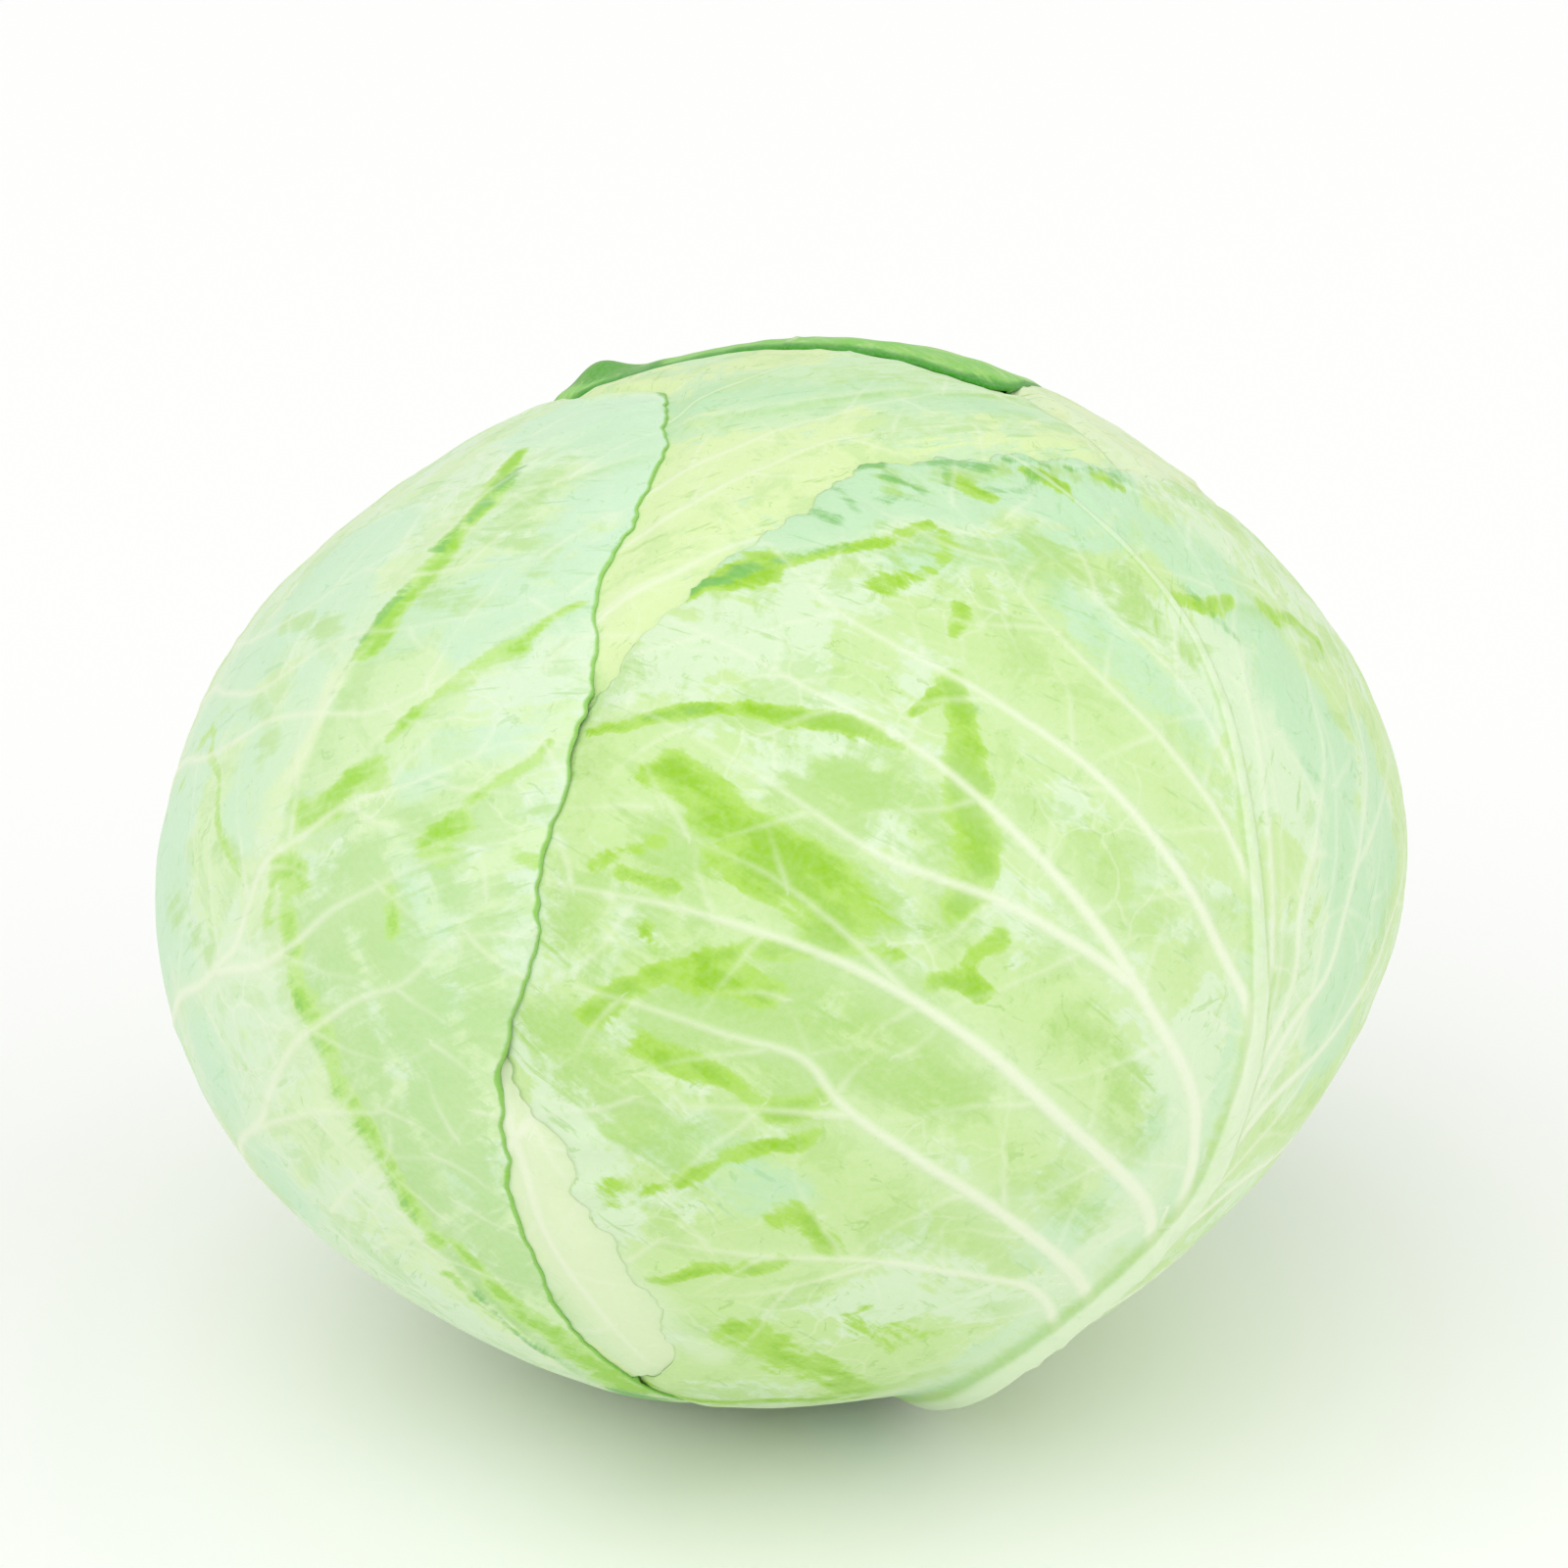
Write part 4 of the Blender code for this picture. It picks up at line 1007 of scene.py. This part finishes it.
headFront = {
    **plainLeaf, "name": "headFront", "node": "leaf_04_front", "slot": "head_leaf", "divisions": 180,
    "look": {
        "bloom": "#CDEABA", "blade": "#DAEFAE", "deep": "#BCE092", "netStrength": 0.2, "rim": "#B8E07A",
    },
    "outline": [
        (-166, 101), (-150, 92), (-120, 82), (-90, 82), (-60, 86), (-30, 90), (0, 94), (35, 97), (60, 92),
        (90, 82), (120, 78), (150, 92), (166, 101),
    ],
    "rounding": 3.0, "ruffle": [(15, 0.6), (6, 0.4)],
    "ribLine": [(0, -90), (-2, -50), (-2, -10), (0, 30), (2, 60), (6, 90)],
    "ribHalfWidth": (5.5, 0.6), "ribHeight": (3.0, 0.2),
    "veins": [
        ([(8, 44), (11, 50), (16, 60), (21, 69), (29, 84), (40, 92), (54, 95)], 0.5),
        ([(12, 40), (20, 55), (26, 65), (36, 75), (46, 82), (58, 84)], 0.5),
        ([(14, 32), (22, 42), (34, 56), (48, 66)], 0.45), ([(0, -40), (14, -20), (30, 0), (48, 20)], 0.9),
        ([(0, 0), (8, 20), (22, 42), (40, 60)], 0.8), ([(0, 0), (-8, 20), (-20, 46), (-34, 66)], 0.8),
        ([(0, -40), (-16, -20), (-36, 0), (-60, 20)], 0.9), ([(16, -4), (21, -26), (28, -53)], 0.8),
        ([(18, -8), (23, -18), (28, -26), (34, -32)], 0.5),
    ],
    "twigSpacing": 8.0, "veinHeight": 0.45, "pillow": 0.3, "crumple": 0.1, "frill": 0.2, "frillSpacing": 5.0,
    "creases": [
        {"line": [(4, 58), (14, 66), (24, 78), (38, 92)],
         "ridge": (0.3, 1.6), "step": (0.3, 2.0), "reach": 8.0, "shade": (0.6, 3.0)},
    ],
    "green": [([(14, 76), (30, 90)], 8.0, 0.5), ([(30, 70), (44, 84)], 5.0, 0.5)],
    "bloom": [([(8, 66), (24, 84), (44, 92)], 9.0, 1.0), ([(20, -12), (26, -36)], 6.0, 0.6)],
    "yellow": [([(12, 30), (16, 46), (24, 54)], 9.0, 1.0)],
    "white": [([(17, -4), (22, -24), (27, -40), (30, -60)], 6.0, 1.0)],
    "mint": [([(0, 60), (16, 72), (34, 82)], 7.0, 0.55)],
}


def innerLeaf(name, node, divisions, turn):
    # a covered head leaf, plainer than the wrappers; its midrib curves by so many degrees
    return {
        **plainLeaf, "name": name, "node": node, "slot": "head_leaf", "divisions": divisions,
        "outline": [
            (-166, 101), (-150, 92), (-110, 80), (-70, 84), (-35, 90), (0, 94),
            (40, 90), (75, 82), (110, 80), (150, 92), (166, 101),
        ],
        "rounding": 3.0, "ruffle": [(15, 0.7), (6, 0.4)],
        "ribLine": [(0, -90), (turn, -50), (turn, -10), (0, 30), (-turn, 60), (-turn, 90)],
        "ribHalfWidth": (5.5, 0.6), "ribHeight": (2.4, 0.2),
        "veins": sideVeins, "twigSpacing": 9.0, "veinHeight": 0.4, "pillow": 0.3,
        "crumple": 0.12, "frill": 0.3, "frillSpacing": 5.0,
        "white": [([(0, -50), (0, -80)], 8.0, 0.5)],
    }


# from the outside in, in the order of the spiral
leafPlans = [
    wrapperLeft, wrapperRight, wrapperBack, headFront,
    innerLeaf("headBackRight", "leaf_05_back_right", 96, 2.0),
    innerLeaf("headBackLeft", "leaf_06_back_left", 96, -2.0),
    innerLeaf("headFrontRight", "leaf_07_front_right", 80, 1.5),
    innerLeaf("headBackInner", "leaf_08_back_inner", 80, -1.5),
]
paleLook = {"bloom": "#DDEEC4", "blade": "#E0EFB8", "deep": "#CCE4A4", "netStrength": 0.25, "rim": "#BFE38A"}

paleMaterial = leafMaterial("pale inner leaf, thin bloom", {**leafLook, **paleLook})
leaves = [Leaf(plan, order) for order, plan in enumerate(leafPlans)]
for leaf in leaves:
    name, look = leaf.plan["name"], leaf.plan["look"]
    material = leafMaterial(name + " waxy leaf", {**leafLook, **look}) if look else paleMaterial
    makeLeaf(leaf, leaves, material)

stem = {                      # metres
    "radius": 0.018, "shoulder": 0.030, "topRadius": 0.008, "height": 0.098,
    "around": 96,
    # the sawn face from its middle out, slightly hollow and rounded at the edge
    "faceRadii": [0.0, 0.004, 0.008, 0.012, 0.015, 0.0166, 0.0172, 0.0177, 0.018],
    "faceHeights": [0.0006, 0.0007, 0.0006, 0.0004, 0.0002, 0.0, 0.0, 0.0004, 0.0012],
    "scars": 3, "scarPitch": 900.0, "scarMiddle": 0.015, "scarReach": 0.010, "scarHeight": 0.0005,
    "skin": "#B8CF86", "flesh": "#EEF0D2", "ring": "#CFD7A0", "dry": "#CDB98A",
    "ringRadius": 0.0125, "ringWidth": 0.0016, "ringWander": 0.002,
    "roughness": 0.6,
}
heart = {                     # metres and degrees
    "depth": 0.0103, "around": 160, "down": 110,
    "boreGap": 0.0006, "boreStart": 0.016, "boreRows": 12,
    "wraps": 5, "twist": 0.9, "wrapStep": 0.0010, "lap": 0.06,
    "smoothFrom": 125.0, "smoothOver": 30.0, "wrinkle": 0.0003,
    "pale": "#F1F5CC", "yellow": "#E3EEAA", "vein": "#F7F9E6", "roughness": 0.42,
}


def coreRadius(height):
    t = (height - stem["shoulder"]) / (stem["height"] - stem["shoulder"])
    return stem["radius"] + (stem["topRadius"] - stem["radius"]) * np.clip(t, 0.0, 1.0)


def rollGrid(name, around, rows, place):
    # a grid rolled round the axis, its seam and its two ends closed
    piece, flat = startGrid(name, around, rows)
    turn = np.round((flat[:, 0] + 1.0) / 2.0 * around) % around * 360.0 / around
    step = np.round((flat[:, 1] + 1.0) / 2.0 * rows).astype(int)
    piece.data.vertices.foreach_set("co", place(turn, step).ravel())
    bpy.ops.object.mode_set(mode="EDIT")
    bpy.ops.mesh.select_all(action="SELECT")
    bpy.ops.mesh.remove_doubles(threshold=1e-6)
    bpy.ops.mesh.normals_make_consistent(inside=False)
    bpy.ops.object.mode_set(mode="OBJECT")
    return piece


def makeHeart(material):
    # packed inner leaves: the outside from the top down, then the bore round the core and up inside it
    drop = head["middleHeight"] - head["undersideHeight"] - heart["depth"]
    rimPolar = 180.0 - math.degrees(math.asin((stem["radius"] + heart["boreGap"]) / drop))
    boreTop = stem["height"] + heart["boreGap"]
    boreHeights = np.append(np.linspace(heart["boreStart"], boreTop, heart["boreRows"]), boreTop)
    boreRadii = np.append(coreRadius(boreHeights[:-1]) + heart["boreGap"], 0.0)
    rows = heart["down"] + len(boreHeights)

    def place(turn, step):
        polar = np.minimum(step / heart["down"], 1.0) * rimPolar
        ray = directions(turn, polar)
        wrap = (turn / 360.0 * heart["wraps"] + polar / 180.0 * heart["twist"]) % 1.0
        fold = wrap * smoothStep((1.0 - wrap) / heart["lap"]) * np.sin(np.radians(polar)) ** 0.5
        low = smoothStep((polar - heart["smoothFrom"]) / heart["smoothOver"])
        wrinkle = sineNoise(ray[:, 0] * 60, ray[:, 1] * 60 + ray[:, 2] * 18, 12.0, 5) * heart["wrinkle"]
        rise = (heart["wrapStep"] * (fold - 1.0) + wrinkle) * (1.0 - low)
        radius = headRadius(ray) - heart["depth"] + rise
        points = ray * radius[:, None]
        points[:, 2] += head["middleHeight"]
        inside = step > heart["down"]
        bore = np.clip(step - heart["down"] - 1, 0, len(boreHeights) - 1)
        axis = directions(turn, 90.0)
        points[inside] = (axis * boreRadii[bore][:, None])[inside]
        points[inside, 2] = boreHeights[bore][inside]
        return points

    piece = rollGrid("packedHeart", heart["around"], rows, place)
    bpy.ops.object.shade_smooth()
    piece.data.materials.append(material)
    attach(piece, "root")
    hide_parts("heart")
    print("cabbage: packedHeart", len(piece.data.polygons), "faces")


def makeStem(material):
    # cut face with a sawn, slightly hollow middle, leaf scars up the side, then the tapering core
    side = np.concatenate([np.linspace(0.002, stem["shoulder"], 29), np.linspace(0.034, 0.0974, 20)])
    heights = np.concatenate([stem["faceHeights"], side, [stem["height"], stem["height"]]])
    radii = np.concatenate([stem["faceRadii"], coreRadius(side), [stem["topRadius"] - 0.001, 0.0]])

    def place(turn, step):
        axis = directions(turn, 90.0)
        height = heights[step]
        near = np.exp(-((height - stem["scarMiddle"]) / stem["scarReach"]) ** 2)
        scar = np.sin(np.radians(turn * stem["scars"]) + height * stem["scarPitch"]) * near
        rough = sineNoise(axis[:, 0] * 20, axis[:, 1] * 20 + height * 1500, 9.0, 8)
        bump = np.where(radii[step] >= 0.0177, scar - 1.0 + 0.4 * rough, 0.0) * stem["scarHeight"]
        bump = bump * (height > 0.003)
        points = axis * (radii[step] + bump)[:, None]
        points[:, 2] = height
        return points

    piece = rollGrid("cutStem", stem["around"], len(heights) - 1, place)
    bpy.ops.object.shade_smooth_by_angle(angle=math.radians(40))
    piece.data.materials.append(material)
    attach(piece, "root")
    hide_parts("stem")
    print("cabbage: cutStem", len(piece.data.polygons), "faces")


def heartMaterial():
    # blanched inner leaves, thin cuticle without bloom: pale and moist, with paler strands
    material, shader, add = newMaterial("blanched inner leaves, moist cuticle")
    where = add("TexCoord", output="Object")
    stretched = add("Mapping", {"Vector": where, "Scale": (1.0, 1.0, 0.22)})
    strands = add("TexNoise", {"Vector": stretched, "Scale": 1000 / 9, "Detail": 4.0})
    cloud = add("TexNoise", {"Vector": where, "Scale": 1000 / 40, "Detail": 3.0})
    lines = add("MapRange", [strands, 0.52, 0.60, 0.0, 0.7], **soft)
    colour = painted(add, hexColour(heart["pale"]), [(cloud, hexColour(heart["yellow"])),
                                                     (lines, hexColour(heart["vein"]))])
    finishMaterial(add, shader, colour, strands, 0.4)
    shader.inputs["Roughness"].default_value = heart["roughness"]
    return material


def stemMaterial():
    # knife-cut pith and fibre ring: cream and moist inside, dried a little brown, green skin at the edge
    material, shader, add = newMaterial("knife-cut stem, pith and fibre ring")
    where = add("TexCoord", output="Object")
    level = add("VectorMath", [where, (1.0, 1.0, 0.0)], operation="MULTIPLY")
    radius = add("VectorMath", [level], "Value", operation="LENGTH")
    grain = add("TexNoise", {"Vector": where, "Scale": 1000 / 2.5, "Detail": 4.0})
    blot = add("TexNoise", {"Vector": where, "Scale": 1000 / 11, "Detail": 3.0})
    wander = weighed(add, radius, [(grain, stem["ringWander"])])
    fromRing = add("Math", [wander, stem["ringRadius"] + stem["ringWander"] / 2], operation="SUBTRACT")
    fromRing = add("Math", [fromRing], operation="ABSOLUTE")
    ring = add("MapRange", [fromRing, 0.0, stem["ringWidth"], 1.0, 0.0], **soft)
    dry = add("MapRange", [blot, 0.50, 0.70, 0.0, 0.55], **soft)
    skin = add("MapRange", [wander, 0.0170, 0.0185, 0.0, 0.9], **soft)
    colour = painted(add, hexColour(stem["flesh"]), [
        (ring, hexColour(stem["ring"])), (dry, hexColour(stem["dry"])), (skin, hexColour(stem["skin"])),
    ])
    finishMaterial(add, shader, colour, grain, 0.5)
    shader.inputs["Roughness"].default_value = stem["roughness"]
    return material


makeHeart(heartMaterial())
makeStem(stemMaterial())

camera = {
    "elevation": 19.0, "distance": 0.63,
    "lens": 85.0, "sensor": 36.0,     # millimetres
    "aimX": -0.0006, "aimUp": 0.0128,
}


def makeCamera():
    tilt = math.radians(camera["elevation"])
    forward = np.array([0.0, math.cos(tilt), -math.sin(tilt)])
    up = np.array([0.0, math.sin(tilt), math.cos(tilt)])
    aim = np.array([camera["aimX"], 0.0, head["middleHeight"]]) + up * camera["aimUp"]
    bpy.ops.object.camera_add(location=aim - forward * camera["distance"],
                              rotation=(math.pi / 2 - tilt, 0.0, 0.0))
    eye = bpy.context.object
    eye.data.lens = camera["lens"]
    eye.data.sensor_width = camera["sensor"]
    bpy.context.scene.camera = eye


studio = {
    "worldColour": "#FFFFFF",
    "worldStrength": 0.70,
    # turn from the front and height in degrees, strength, how wide the soft source is in degrees
    "lamps": [(-35, 55, 0.95, 60), (65, 35, 0.5, 70)],
    "floorColour": "#FBFBFA",
    "floorSize": 12.0,
}


def makeStudio():
    world = bpy.data.worlds.new("studio")
    world.use_nodes = True
    background = world.node_tree.nodes["Background"]
    background.inputs["Color"].default_value = hexColour(studio["worldColour"])
    background.inputs["Strength"].default_value = studio["worldStrength"]
    bpy.context.scene.world = world
    for turn, rise, strength, spread in studio["lamps"]:
        bpy.ops.object.light_add(type="SUN", location=(0.0, 0.0, 1.0),
                                 rotation=(math.radians(90 - rise), 0.0, math.radians(turn)))
        lamp = bpy.context.object
        lamp.data.energy = strength
        lamp.data.angle = math.radians(spread)
    bpy.context.scene.view_settings.view_transform = "Standard"


def makeFloor():
    bpy.ops.object.select_all(action="DESELECT")
    bpy.ops.mesh.primitive_plane_add(size=studio["floorSize"], location=(0.0, 0.0, 0.0))
    floor = bpy.context.object
    floor.name = "studioFloor"
    # matt paper: plain and pale, with no reflection of the head
    material, shader, _ = newMaterial("matt white paper")
    shader.inputs["Base Color"].default_value = hexColour(studio["floorColour"])
    shader.inputs["Roughness"].default_value = 0.9
    shader.inputs["Specular IOR Level"].default_value = 0.1
    floor.data.materials.append(material)


makeCamera()
makeStudio()
makeFloor()
print("cabbage: camera, light and floor placed")

print("cabbage: done")
